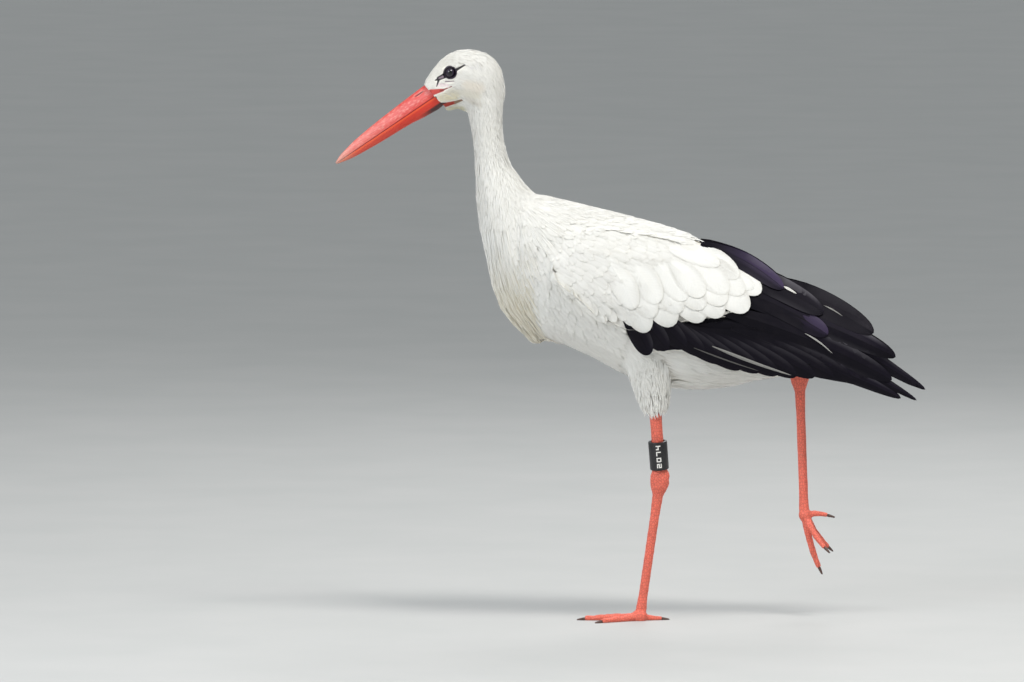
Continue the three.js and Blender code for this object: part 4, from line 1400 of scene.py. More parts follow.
def lids(side):
    """A fleshy ring that closes on the eyeball and sinks into the skin round it."""
    bpy.ops.object.select_all(action="DESELECT")
    bpy.ops.mesh.primitive_torus_add(
        major_radius=8.15 * MM, minor_radius=1.0 * MM, major_segments=64, minor_segments=16, location=(0, 0, 0)
    )
    obj = bpy.context.active_object
    obj.name = f"lids_{side}"
    points = read_points(obj.data)
    radius = np.hypot(points[:, 0], points[:, 1]) / MM
    angle = np.arctan2(points[:, 1], points[:, 0])
    raised = points[:, 2] / MM
    form = coat_form()
    outer = np.empty(len(points))
    for index, a in enumerate(angle):
        origin = Vector(
            ((EYE[0] + 9.3 * math.cos(a)) * MM, SIDES[side] * 0.2, (EYE[1] + 8.8 * math.sin(a)) * MM)
        )
        hit = form.tree.ray_cast(origin, Vector((0, -SIDES[side], 0)))[0]
        outer[index] = abs(hit.y / MM - MIDLINE) if hit is not None else 21.0
    inner = EYE_OUT + math.sqrt(EYE_RADIUS**2 - 7.15**2) + 0.2
    share = np.clip((radius - 7.15) / 2.0, 0, 1)
    level = inner + (outer - 0.9 - inner) * ease(share, 0.0, 1.0)
    out = level + raised * 0.5 + 0.3 * np.sin(share * math.pi)
    wave = 0.1 * np.sin(angle * 17) * ease(share, 0.3, 0.8)
    brow = 1 + 0.05 * (np.sin(angle) > 0)
    x = EYE[0] + radius * np.cos(angle) * 1.04
    z = EYE[1] + radius * np.sin(angle) * 0.97 * brow
    write_points(obj.data, np.stack([x, MIDLINE + SIDES[side] * (out + wave), z], axis=1) * MM)
    in_edit_mode(obj)
    bpy.ops.mesh.select_all(action="SELECT")
    bpy.ops.mesh.normals_make_consistent(inside=False)
    in_object_mode()
    shades = np.tile(np.array([*LID_GREY, 1.0]), (len(points), 1))
    attribute = obj.data.color_attributes.new("Marking", "FLOAT_COLOR", "POINT")
    attribute.data.foreach_set("color", shades.ravel())
    obj.data.shade_smooth()
    return place(obj, [material_of("face")])


def make_eyes(settings):
    for side in SIDES:
        eyeball(side)
        lids(side)


def rounded_copy(name, node, levels, thicker=0.0):
    """A CAD solid's shape with its facets rounded off."""
    shape = bmesh.new()
    shape.from_mesh(frame["nodes"][node].data)
    bmesh.ops.remove_doubles(shape, verts=shape.verts, dist=1e-6)
    bmesh.ops.recalc_face_normals(shape, faces=shape.faces)
    shape.normal_update()
    for vert in shape.verts:
        vert.co += vert.normal * thicker * MM
    mesh = bpy.data.meshes.new(name)
    shape.to_mesh(mesh)
    shape.free()
    obj = link(name, mesh)
    in_edit_mode(obj)
    bpy.ops.mesh.select_all(action="SELECT")
    bpy.ops.mesh.tris_convert_to_quads(face_threshold=0.7, shape_threshold=0.9)
    bpy.ops.mesh.normals_make_consistent(inside=False)
    in_object_mode()
    modifier = obj.modifiers.new("Round", "SUBSURF")
    modifier.levels = levels
    modifier.render_levels = levels
    bpy.ops.object.modifier_apply(modifier="Round")
    obj.data.shade_smooth()
    return obj


def make_claws(settings):
    for side in SIDES:
        for toe in TOE_NAMES:
            node = f"claw_{side}_{toe}"
            obj = rounded_copy(f"{node}_horn", node, 2, 0.7)
            place(obj, [material_of("claw")], [node])


# ---------------------------------------------------------------- leg ring
# The strokes of plain numerals: top, upper left, upper right, middle, lower left, lower right, bottom.
STROKES = {
    "0": "1110111", "1": "0010010", "2": "1011101", "3": "1011011", "4": "0111010",
    "5": "1101011", "6": "1101111", "7": "1010010", "8": "1111111", "9": "1111011",
}
RING = {"inner": 9.9, "outer": 13.2, "height": 40.0, "edge": 0.9}


def ring_axes():
    """The ring's middle and the way its tube runs, from the solid."""
    points = read_points(frame["nodes"]["leg_band_left"].data)
    middle = (points.min(0) + points.max(0)) / 2
    low = points[points[:, 2] < middle[2]].mean(0)
    high = points[points[:, 2] > middle[2]].mean(0)
    up = unit(high - low)
    front = unit(np.array([0, -1, 0]) - up * (up @ np.array([0, -1, 0])))
    return (low + high) / 2, np.cross(front, up) * -1, front, up


def make_ring(settings):
    """A plastic tube with softened edges round the shank, and plain numerals along it."""
    middle, side, front, up = ring_axes()
    half = RING["height"] / 2
    soft = RING["edge"]
    outline = [
        (RING["inner"], -half), (RING["outer"] - soft, -half), (RING["outer"] - soft * 0.3, -half + soft * 0.3),
        (RING["outer"], -half + soft), (RING["outer"], half - soft),
        (RING["outer"] - soft * 0.3, half - soft * 0.3), (RING["outer"] - soft, half), (RING["inner"], half),
    ]
    count = 72
    bpy.ops.object.select_all(action="DESELECT")
    bpy.ops.mesh.primitive_circle_add(vertices=count, radius=outline[0][0] * MM, fill_type="NOTHING", location=(0, 0, 0))
    obj = bpy.context.active_object
    obj.name = "leg_ring"
    in_edit_mode(obj)
    bpy.ops.mesh.select_all(action="SELECT")
    bpy.ops.transform.translate(value=(0, 0, outline[0][1] * MM))
    for (radius, z), (next_radius, next_z) in zip(outline, outline[1:]):
        bpy.ops.mesh.extrude_region_move(TRANSFORM_OT_translate={"value": (0, 0, (next_z - z) * MM)})
        share = next_radius / radius
        bpy.ops.transform.resize(value=(share, share, 1), center_override=(0, 0, next_z * MM))
    bpy.ops.mesh.select_all(action="DESELECT")
    bpy.ops.mesh.select_non_manifold()
    bpy.ops.mesh.bridge_edge_loops()
    bpy.ops.mesh.select_all(action="SELECT")
    bpy.ops.mesh.normals_make_consistent(inside=False)
    in_object_mode()
    points = read_points(obj.data)
    write_points(obj.data, middle + points[:, :1] * side + points[:, 1:2] * front + points[:, 2:] * up)
    obj.data.shade_smooth()
    obj.data.set_sharp_from_angle(angle=math.radians(35))
    place(obj, [material_of("ring")], ["leg_band_left"])
    make_numerals("2074", middle, side, front, up)


def make_numerals(digits, middle, side, front, up):
    """Upright strokes wrapped on the ring, read along the leg and repeated round it."""
    wide, tall, line = 6.2, 6.6, 1.5
    boxes = []
    for turn in range(3):
        for row, digit in enumerate(digits):
            start = (row - (len(digits) - 1) / 2) * (tall + 2.0)
            boxes += [(turn * 2 * math.pi / 3, box) for box in digit_boxes(digit, start, wide, tall, line)]
    steps = 5
    verts, faces = [], []
    for turn, (a0, a1, h0, h1) in boxes:
        base = len(verts)
        for k in range(steps + 1):
            angle = turn + (a0 + (a1 - a0) * k / steps) / RING["outer"]
            for radius in (RING["outer"] - 0.25, RING["outer"] + 0.14):
                for height in (h0, h1):
                    out = front * math.cos(angle) + side * math.sin(angle)
                    verts.append(middle + (out * radius + up * height) * MM)
        for k in range(steps):
            a, b = base + 4 * k, base + 4 * k + 4
            faces += [(a, b, b + 1, a + 1), (a + 2, a + 3, b + 3, b + 2), (a, a + 2, b + 2, b), (a + 1, b + 1, b + 3, a + 3)]
        end = base + 4 * steps
        faces += [(base, base + 1, base + 3, base + 2), (end, end + 2, end + 3, end + 1)]
    mesh = bpy.data.meshes.new("ring_numerals")
    mesh.from_pydata(verts, [], faces)
    obj = link("ring_numerals", mesh)
    in_edit_mode(obj)
    bpy.ops.mesh.select_all(action="SELECT")
    bpy.ops.mesh.normals_make_consistent(inside=False)
    in_object_mode()
    return place(obj, [material_of("numeral")])


def digit_boxes(digit, start, wide, tall, line):
    """The strokes of one numeral, turned a quarter so that it reads along the leg."""
    w, t, half = wide / 2, tall / 2, line / 2
    strokes = [
        (-w, w, t - line, t), (-w, -w + line, 0, t), (w - line, w, 0, t), (-w, w, -half, half),
        (-w, -w + line, -t, 0), (w - line, w, -t, 0), (-w, w, -t, -t + line),
    ]
    on = [stroke for stroke, flag in zip(strokes, STROKES[digit]) if flag == "1"]
    return [(-y1, -y0, start + x0, start + x1) for x0, x1, y0, y1 in on]


# ---------------------------------------------------------------- coat
def on_bare_face(spine):
    """Whether tufts touch the face's bare skin."""
    return np.any([bare_face(spine[:, k])[0] for k in range(spine.shape[1])], axis=0)


def make_head_coat(settings):
    """Fine tufts on the face that lengthen over the crown, cheeks and nape."""
    rng = np.random.default_rng(settings.seed + 1)
    form = coat_form()
    face = (
        ("coat_face", settings.face_gap * 0.72, lambda p: p[:, 0] < -0.238),
        ("coat_nape", settings.face_gap, lambda p: p[:, 0] >= -0.238),
    )
    for name, gap, there in face:
        wanted = lambda p: there(p) & (p[:, 2] > 0.665) & (p[:, 0] > -0.3005)
        roots = form.scatter(gap, ["head", "neck"], wanted, rng)
        x, _, z = roots.T / MM
        back = ease(x, -290, -212)
        length = 3.6 + 9.5 * back + 4.0 * ease(-z, -715, -675)
        half = 0.5 + 0.85 * back
        obj = grow(
            name, roots, lie, rng, length=length, half=half, shape=pointed, stations=3,
            lift=(-0.5 - 1.1 * back, 0.1), crown=0.2, camber=0.14, fan=8, section=HAIR_SECTION,
            shade=face_shade, drop=on_bare_face,
        )
        place(obj, [material_of("white")])


def make_neck_coat(settings):
    """Narrow soft feathers down the neck."""
    rng = np.random.default_rng(settings.seed + 2)
    form = coat_form()
    wanted = lambda p: (p[:, 2] > 0.575) & (p[:, 2] < 0.680)
    roots = form.scatter(settings.face_gap * 1.3, ["head", "neck", "breast", "trunk"], wanted, rng)
    low = ease(-roots[:, 2] / MM, -680, -600)
    obj = grow(
        "coat_neck", roots, lie, rng, length=16 + 18 * low, half=1.5 + 0.6 * low, shape=pointed, stations=4,
        lift=(-2.0, 0.4), crown=0.35, camber=0.16, fan=8, section=HAIR_SECTION,
    )
    place(obj, [material_of("white")])


def make_plumes(settings):
    """Long pointed plumes that hang in a loose beard from the lower neck over the breast."""
    rng = np.random.default_rng(settings.seed + 3)
    form = coat_form()
    wanted = lambda p: (p[:, 2] > 0.412) & (p[:, 2] < 0.605)
    roots = form.scatter(settings.plume_gap, ["breast", "neck"], wanted, rng)
    x, _, z = roots.T / MM
    high = ease(z, 430, 600)
    loose = ease(-x, 135, 175) * ease(-z, -520, -430)
    obj = grow(
        "plumes_breast", roots, lie, rng, length=56 + 30 * high, half=2.1, shape=pointed, stations=9,
        lift=(-3.0, 0.45 + 1.3 * loose), hug=1 - 0.3 * loose, stiff=0.35 + 0.35 * loose, crown=0.5,
        camber=0.14, fan=9, shade=breast_shade, curl=1.2 * loose,
    )
    place(obj, [material_of("white")])


# Where white gives way to the dark inner feathers on top, in side view.
WHITE_BORDER = ([60, 81, 113, 136, 159, 169], [560, 531, 511, 495, 477, 462])


def under_border(points):
    """Whether places are on the white side of the border on top of the wing."""
    x, _, z = points.T / MM
    return (x < 169) & (z < np.interp(x, *WHITE_BORDER))


def past_white(spine):
    """Whether feathers end in the dark part of the wing."""
    end = spine[:, -1]
    x, y, z = end.T / MM
    over = (x > 76) & ~under_border(end) & (z > 425) & (np.abs(y - MIDLINE) > 6)
    dark = (coat_form().zone_at(end) == "dark") & ~((x > 60) & (z > 446) & under_border(end))
    return over | dark


def make_body_coat(settings):
    """Overlapping contour feathers on the back, flanks and belly."""
    rng = np.random.default_rng(settings.seed + 4)
    form = coat_form()
    low = lambda p: p[:, 2] < 0.435
    for name, gap, there in (
        ("coat_back", settings.body_gap, lambda p: ~low(p)),
        ("coat_belly", settings.body_gap * 0.78, low),
    ):
        wanted = lambda p: there(p) & (p[:, 0] > -0.185)
        roots = form.scatter(gap, ["trunk", "tail", "breast"], wanted, rng)
        deep = ease(-roots[:, 2] / MM, -440, -370)
        obj = grow(
            name, roots, lie, rng, length=32 + 12 * deep, half=5.4 - 2.2 * deep, shape=rounded, stations=6,
            lift=(-2.2, 0.1), hug=0.96, crown=0.26, camber=0.2, fan=7, drop=past_white,
        )
        place(obj, [material_of("white")])


def make_thigh_coat(settings):
    """Shaggy feathers down each thigh that end in loose points above the bare shank."""
    rng = np.random.default_rng(settings.seed + 5)
    form = coat_form()
    wanted = lambda p: (p[:, 2] < 0.46) & (dot(form.nearest(p)[1], thigh_lie(p))[:, 0] < 0.5)
    roots = form.scatter(settings.thigh_gap, ["thigh"], wanted, rng)
    ends = {side: np.array(THIGH_LINES[side][1]) * MM for side in SIDES}
    away = np.minimum(*(np.linalg.norm(roots - ends[side], axis=1) for side in SIDES)) / MM
    close = 1 - ease(away, 18, 45)
    ragged = 0.9 * (rng.random(len(roots)) - 0.45)
    loose = 1 - ease(away + 22 * (rng.random(len(roots)) - 0.5), 28, 64)
    length = (26 + 8 * close - 17 * loose) * (1 + close * ragged)
    obj = grow(
        "coat_thighs", roots, thigh_lie, rng, length=length, half=2.2 - 0.7 * close, shape=pointed, stations=6,
        lift=(-2.6, 0.4), hug=0.9 - 0.82 * loose, stiff=0.5, crown=0.42, camber=0.14, fan=10,
    )
    place(obj, [material_of("white")])


# ---------------------------------------------------------------- wings and tail
# The white coverts' last row: tips in side view, their slope below level, length and half width.
SCALLOPS = [
    (9, 410.5, 62, 84, 20.5), (45, 419, 57, 82, 22.5), (86, 425, 52, 80, 22.0), (113, 432, 46, 80, 21.0),
    (149, 438, 41, 92, 21.5), (167, 461, 34, 92, 18.0),
]
# White feathers that lie over the roots of the dark inner ones.
SCAPULARS = [
    ((92, 495), (157, 468), 12.5, 3.0, 0.2, 3.0, 0, 0), ((67, 510), (134, 483), 12.0, 3.0, 0.4, 3.3, 0, 0),
    ((40, 525), (109, 500), 11.5, 2.0, 0.4, 3.4, 0, 0),
]
# Longest inner feathers: root and tip, half width, bow, lift at each end, gloss (how much painted purple sheen) and
# pale edge.
TERTIALS = [
    ((84, 530), (198, 465), 12.5, 7.0, 0.8, 4.2, 1.2, 0.4),
    ((108, 500), (255, 431), 15.5, 7.0, -0.1, 3.0, 0.05, 1.0),
    ((126, 482), (326, 404), 17.5, 13.0, -1.0, 1.0, 0.0, 0.2),
    ((190, 436), (261, 403), 13.0, 4.0, -1.5, 0.9, 0.9, 0.2),
    ((112, 474), (262, 402), 15.0, 8.0, -1.2, 0.2, 0.1, 0.3),
    ((118, 462), (357, 370), 15.0, 8.0, -1.7, -0.2, 0.1, 1.0),
    ((104, 444), (352, 338), 17.0, 8.0, -2.6, -1.0, 0.08, 0.6),
]
# Pale rubbed edges and shafts that catch the light, each a narrow sliver: partly their own pale colour, partly painted
# highlight.
STREAKS = [
    ((199, 468), (217, 458), 1.7, 0.5, 3.2, 3.2, 0, 0.8), ((229, 406), (268, 377), 1.1, 2.0, 0.5, 0.5, 0, 0.45),
    ((256, 442), (282, 427), 0.9, 1.0, 1.6, 1.6, 0, 0.3), ((100, 390), (211, 347), 2.3, -1.5, 0.4, 0.3, 0, 0.3),
    ((74, 388), (165, 354), 1.0, -1.0, 0.3, 0.3, 0, 0.12),
]
# The outermost feathers at the wing's tip, and how far each copy below them is sunk and drawn in.
PRIMARIES = [
    ((104, 402), (322, 333), 15.0, -2.0, -3.0, -2.0, 0.1, 0.5),
    ((126, 412), (365, 312), 15.0, 4.0, -2.6, -1.8, 0.12, 0.5),
    ((150, 418), (387, 309), 10.0, 8.0, -3.2, -2.6, 0.1, 0.3),
    ((150, 434), (399, 324), 13.0, 13.0, -3.6, -3.0, 0.1, 0.3),
]
PRIMARY_LAYERS = [(0.0, 0.0), (2.6, 5.0), (5.2, 12.0)]
# The wing's lower edge, where the secondaries end: distance along, height and slope of the feathers.
TRAILING_EDGE = ([6, 16, 30, 64, 94, 136, 207, 279, 308, 336], [380, 377, 384, 387, 375, 358, 346, 343, 338, 327])
EDGE_SLOPE = ([6, 40, 112, 235, 330], [63, 47, 32, 24, 20])
SECONDARY_COUNT = 13


def wing_vanes(name, side, feathers, material, shape, stations=12, crown=0.8, overlap=0.5):
    """Broad feathers laid on the wing's side; each has a root, tip, half width, bow, lifts and gloss, which sets its
    painted purple sheen.
    """
    field = wing_field(side)
    sign = SIDES[side]
    roots = np.array([f[0] for f in feathers], float)
    tips = np.array([f[1] for f in feathers], float)
    half, bow, low, high, gloss, pale = (np.array([f[k] for f in feathers], float) for k in range(2, 8))
    along = steps_along(stations + 1, 1.6)
    run = tips - roots
    level = np.stack([-run[:, 1], run[:, 0]], axis=1) / np.linalg.norm(run, axis=1)[:, None]
    line = roots[:, None] + run[:, None] * along[None, :, None]
    line = line + level[:, None] * (bow[:, None] * np.sin(math.pi * along))[..., None]
    way = np.gradient(line, axis=1)
    way = way / np.linalg.norm(way, axis=-1, keepdims=True)
    across = np.stack([-way[..., 1], way[..., 0]], axis=-1) * sign
    section = np.array(BROAD_SECTION, float)
    width = shape(along)[None, :] * half[:, None]
    inner = slice(0, -1)
    places = line[:, inner, None] + across[:, inner, None] * (width[:, inner, None] * section[:, 0])[..., None]
    lift = low[:, None] + (high - low)[:, None] * along[None, :]
    fade = 1 - 0.55 * along[inner]
    raised = lift[:, inner, None] + section[:, 1] * (crown * fade)[None, :, None]
    down = -sign * section[:, 0]
    raised = raised - overlap * down * (width[:, inner, None] / half[:, None, None])
    rings = field.lifted(places[..., 0], places[..., 1], raised)
    ends = field.lifted(line[:, -1, 0], line[:, -1, 1], lift[:, -1])
    start = field.lifted(line[:, 0, 0], line[:, 0, 1], lift[:, 0])
    tints = material[1](gloss, pale, along[inner], section[:, 0], down)
    obj = feather_mesh(name, rings, ends, tints, start, section[:, 0], along)
    return place(obj, [material_of(material[0])])


def black_tints(gloss, pale, along, across, down):
    """Black vanes with a painted purple sheen, strongest on each vane's upper half towards its tip, and grey along some
    rubbed edges.
    """
    shape = (len(gloss), len(along), len(across), 1)
    # painted sheen: purple mixed into the black, more on the upper half and towards the tip
    painted_sheen = gloss[:, None, None, None] * ease(along, 0.1, 0.75)[None, :, None, None]
    painted_sheen = painted_sheen * (0.12 + 0.88 * ease(-down, -0.25, 0.2))[None, None, :, None]
    tint = np.array(BLACK) * (1 - painted_sheen) + np.array(PURPLE_SHEEN) * painted_sheen
    edge = np.where(down < -0.95, 0.32, 0.06) * (np.abs(across) > 0.95)
    wear_and_crease_shade = pale[:, None, None, None] * edge[None, None, :, None]
    wear_and_crease_shade = wear_and_crease_shade * (ease(along, 0.45, 0.6) * (1 - ease(along, 0.8, 0.97)))[None, :, None, None]
    return tint * (1 - wear_and_crease_shade) + np.array(colour("#8d8a90")) * wear_and_crease_shade


def streak_tints(gloss, pale, along, across, down):
    shape = (len(gloss), len(along), len(across), 1)
    # painted highlight in part: white mixed into black by each sliver's pale share
    share = pale[:, None, None, None] * np.ones(shape)
    return np.array(BLACK) * (1 - share) + np.array(WHITE) * share


def white_tints(gloss, pale, along, across, down):
    shape = (len(gloss), len(along), len(across), 1)
    base = np.array(WHITE) * np.ones(shape)
    root = ease(along, 0.0, 0.4)[None, :, None, None]
    return base * (0.95 + 0.05 * root)


def secondary_feathers():
    """Feathers side by side along the wing's lower edge, each tucked under the one before."""
    feathers = []
    for k in range(SECONDARY_COUNT):
        share = k / (SECONDARY_COUNT - 1)
        x = 12 + (322 - 12) * share
        z = float(np.interp(x, *TRAILING_EDGE))
        slope = math.radians(float(np.interp(x, *EDGE_SLOPE)))
        length = 72 + 36 * float(ease(x, 8, 60)) + 84 * share
        root = (x - math.cos(slope) * length, z + math.sin(slope) * length)
        sunk = -0.9 - 0.9 * share
        half = 14.0 + 2.0 * float(ease(x, 8, 40)) - 1.5 * share
        feathers.append((root, (x, z), half, 2.0 + 3.0 * share, -2.4, sunk, 0.05, 0.25))
    return feathers


def covert_feathers():
    """The scalloped last row of white coverts, and two rows over it."""
    feathers = []
    rows = [(0, 0.0, 1.0), (1, 0.5, 0.9), (2, 0.0, 0.84)]
    table = np.array(SCALLOPS, float)
    for row, phase, size in rows:
        for k in range(len(SCALLOPS) - (1 if phase else 0)):
            low = table[k]
            high = table[min(k + 1, len(SCALLOPS) - 1)]
            x, z, slope, length, half = low + (high - low) * phase
            back = float(ease(x, 70, 135))
            way = np.array([math.cos(math.radians(slope)), -math.sin(math.radians(slope))])
            tip = np.array([x, z]) - way * row * 19
            root = tip - way * length * size
            lifts = (-1.8 + row * 0.5 + 1.2 * back, 0.5 + row * 0.3 + 2.4 * back)
            feathers.append((tuple(root), tuple(tip), half * size, 2.0, *lifts, 0, 0))
    return feathers + SCAPULARS


def primary_feathers():
    """The wing's tip: a stack of long pointed feathers, each layer a little shorter."""
    feathers = []
    for sunk, short in PRIMARY_LAYERS:
        for root, tip, half, bow, low, high, gloss, pale in PRIMARIES:
            way = unit(np.subtract(tip, root))
            end = tuple(np.array(tip) - way * short)
            feathers.append((root, end, half, bow, low - sunk, high - sunk, gloss, pale))
    return feathers


CORE_START, CORE_END = -12.0, 285.0


def flight_core(side):
    """The closed mass of folded feathers under the ones that show."""
    nodes = [f"wing_{side}_secondaries", f"wing_{side}_primaries"]
    obj = joined_solids(f"flight_core_{side}", nodes, 2.8)
    in_edit_mode(obj)
    bpy.ops.mesh.select_all(action="SELECT")
    for cut, way in ((CORE_END, 1), (CORE_START, -1)):
        bpy.ops.mesh.select_all(action="SELECT")
        bpy.ops.mesh.bisect(
            plane_co=(cut * MM, 0, 0.35), plane_no=(way, 0, 0), use_fill=True, clear_inner=False, clear_outer=True
        )
    in_object_mode()
    mesh = obj.data
    relax(mesh, 4)
    points = read_points(mesh) - read_normals(mesh) * 3.2 * MM
    x, y, z = points.T / MM
    covered = ease(-x, -186, -160) * ease(z, 432, 458)
    draw = 0.34 * covered + 0.10 * (1 - covered) * ease(z, 420, 450)
    points[:, 1] = (MIDLINE + (y - MIDLINE) * (1 - draw)) * MM
    drop = 16 * covered * ease(z - np.interp(x, *WHITE_BORDER), -30, 0)
    points[:, 2] -= drop * MM
    shrink = 1 - 0.5 * ease(points[:, 0] / MM, 170, CORE_END)
    middle = np.interp(points[:, 0] / MM, [170, CORE_END], [408, 392]) * MM
    points[:, 2] = middle + (points[:, 2] - middle) * shrink
    write_points(mesh, points)
    shades = np.tile(np.array([*BLACK, 1.0]), (len(points), 1))
    attribute = mesh.color_attributes.new("Marking", "FLOAT_COLOR", "POINT")
    attribute.data.foreach_set("color", shades.ravel())
    put_map(mesh, "Vane", unwrapped(points)[loop_corners(mesh)] * np.array([1, 6]))
    put_map(mesh, "OFBake", unwrapped(points)[loop_corners(mesh)])
    mesh.shade_smooth()
    return place(obj, [material_of("black")], nodes)


def loop_corners(mesh):
    corners = np.empty(len(mesh.loops), dtype=np.int64)
    mesh.loops.foreach_get("vertex_index", corners)
    return corners


def covert_lie(points):
    """The way the small coverts point: steeply down at the wing's lower front, flatter behind."""
    x, y, z = points.T / MM
    low = 54 - 16 * ease(x, 20, 150)
    high = 24 + 10 * ease(x, 40, 160)
    angle = np.radians(low + (high - low) * ease(z, 440, 525))
    return np.stack([np.cos(angle), np.zeros(len(points)), -np.sin(angle)], axis=1)


def dark_lie(points):
    """The way the folded flight feathers point."""
    angle = np.radians(27 - 6 * ease(points[:, 0] / MM, 150, 330))
    return np.stack([np.cos(angle), np.zeros(len(points)), -np.sin(angle)], axis=1)


def dark_shade(spine, along, rng):
    tone = 0.9 + 0.5 * rng.random((len(spine), 1, 1))
    return np.array(BLACK) * tone * np.ones((len(spine), len(along), 3))


def make_wings(settings):
    """Dark flight feathers under rows of white coverts, on both sides."""
    rng = np.random.default_rng(settings.seed + 6)
    blunt = lambda t: rounded(t, 0.5, 3.0)
    round_tip = lambda t: rounded(t, 0.45, 2.3)
    sharp = lambda t: rounded(t, 0.3, 1.35)
    dark = ("black", black_tints)
    pale = ("white", white_tints)
    for side in SIDES:
        flight_core(side)
        wing_vanes(f"primaries_{side}", side, primary_feathers(), dark, sharp, 16, 0.8, 0.3)
        wing_vanes(f"secondaries_{side}", side, secondary_feathers(), dark, blunt, 14, 0.5, 0.4)
        wing_vanes(f"tertials_{side}", side, TERTIALS, dark, blunt, 18, 0.8, 0.5)
        wing_vanes(f"streaks_{side}", side, STREAKS, ("black", streak_tints), sharp, 8, 0.3, 0.0)
        wing_vanes(f"coverts_{side}", side, covert_feathers(), pale, round_tip, 12, 0.45, 0.4)
    form = coat_form()
    ridge = lambda p: (p[:, 0] > 0.10) & (p[:, 0] < 0.26) & (form.nearest(p)[1][:, 2] > 0.7)
    over = form.scatter(settings.covert_gap, ["dark"], ridge, rng)
    obj = grow(
        "coat_ridge", over, dark_lie, rng, length=52, half=8.0, shape=rounded, stations=6,
        lift=(-6.0, -5.0), crown=0.4, camber=0.2, fan=4, shade=dark_shade,
    )
    place(obj, [material_of("black")])
    wanted = lambda p: (p[:, 2] > scallop_line(p)) & under_border(p)
    roots = form.scatter(settings.covert_gap, ["covert", "dark"], wanted, rng)
    obj = grow(
        "coat_wings", roots, covert_lie, rng, length=34, half=7.6, shape=rounded, stations=6,
        lift=(-1.6, 0.15), crown=0.26, camber=0.18, fan=6, drop=past_white,
    )
    place(obj, [material_of("white")])


def scallop_line(points):
    """The level above which small coverts take over from the scalloped rows."""
    x = points[:, 0] / MM
    return np.interp(x, [-120, -30, 0, 60, 110, 140, 170], [440, 448, 462, 476, 496, 512, 540]) * MM


def make_tail(settings):
    """Ten white tail feathers in a low fan."""
    count = 10
    along = steps_along(11, 1.5)
    share = np.linspace(-1, 1, count)
    depth = 1 - np.abs(share)
    start = np.stack([np.full(count, 200.0), MIDLINE + share * 9, 379 - 9 * np.abs(share) ** 2], axis=1)
    end = np.stack([342 - 14 * np.abs(share), MIDLINE + share * 13, 343 - 7 * np.abs(share) ** 2], axis=1)
    spine = start[:, None] + (end - start)[:, None] * along[None, :, None]
    spine[..., 2] += np.sin(along * math.pi)[None] * 3 + (depth * 2.2)[:, None]
    tilt = share * 0.75
    ups = np.stack([np.zeros(count), np.sin(tilt), np.cos(tilt)], axis=1)
    ups = np.repeat(ups[:, None], len(along), axis=1)
    rng = np.random.default_rng(settings.seed + 7)
    obj = dress(
        "tail_feathers", spine * MM, ups, np.full(count, 11.0), along, lambda t: rounded(t, 0.4, 3.0), 0.8, 0.15,
        BROAD_SECTION, None, start * MM, rng,
    )
    place(obj, [material_of("white")])


# ---------------------------------------------------------------- stage
VIEW_MIDDLE = Vector((-0.1785, 0.0, 0.392))
VIEW_WIDTH = 1.4296
VIEW_RISE = 4.5
LENS = 400.0
SENSOR = 36.0


def make_stage(settings):
    """A plain pale floor, soft studio light and a long lens from the bird's left."""
    bpy.ops.object.select_all(action="DESELECT")
    bpy.ops.mesh.primitive_plane_add(size=60, location=(0, 0, 0))
    floor = bpy.context.active_object
    floor.name = "floor"
    floor.data.materials.append(material_of("floor"))
    add_light("key", (1.2, -1.7, 4.1), 1.3, settings.key, (1.0, 0.975, 0.94))
    add_light("fill", (-2.7, -2.7, 2.4), 2.4, settings.fill, (0.93, 0.96, 1.0))
    add_light("rim", (0.8, 2.6, 2.6), 1.8, settings.rim, (1.0, 1.0, 1.0))
    world = bpy.data.worlds.new("Studio")
    bpy.context.scene.world = world
    world.use_nodes = True
    background = world.node_tree.nodes["Background"]
    background.inputs["Color"].default_value = (0.80, 0.84, 0.86, 1)
    background.inputs["Strength"].default_value = settings.world
    distance = VIEW_WIDTH * LENS / SENSOR
    rise = math.radians(VIEW_RISE)
    away = Vector((0, -math.cos(rise), math.sin(rise))) * distance
    data = bpy.data.cameras.new("camera")
    data.lens = LENS
    data.sensor_width = SENSOR
    data.clip_end = 200
    camera = bpy.data.objects.new("camera", data)
    bpy.context.scene.collection.objects.link(camera)
    camera.location = VIEW_MIDDLE + away
    camera.rotation_euler = (-away).to_track_quat("-Z", "Y").to_euler()
    bpy.context.scene.camera = camera
    bpy.context.scene.view_settings.view_transform = "Standard"


def add_light(name, where, size, power, tint):
    """A square soft light that faces the bird's middle."""
    data = bpy.data.lights.new(name, "AREA")
    data.size = size
    data.energy = power
    data.color = tint
    light = bpy.data.objects.new(name, data)
    bpy.context.scene.collection.objects.link(light)
    light.location = where
    light.rotation_euler = (Vector((0, 0, 0.45)) - Vector(where)).to_track_quat("-Z", "Y").to_euler()
    return light


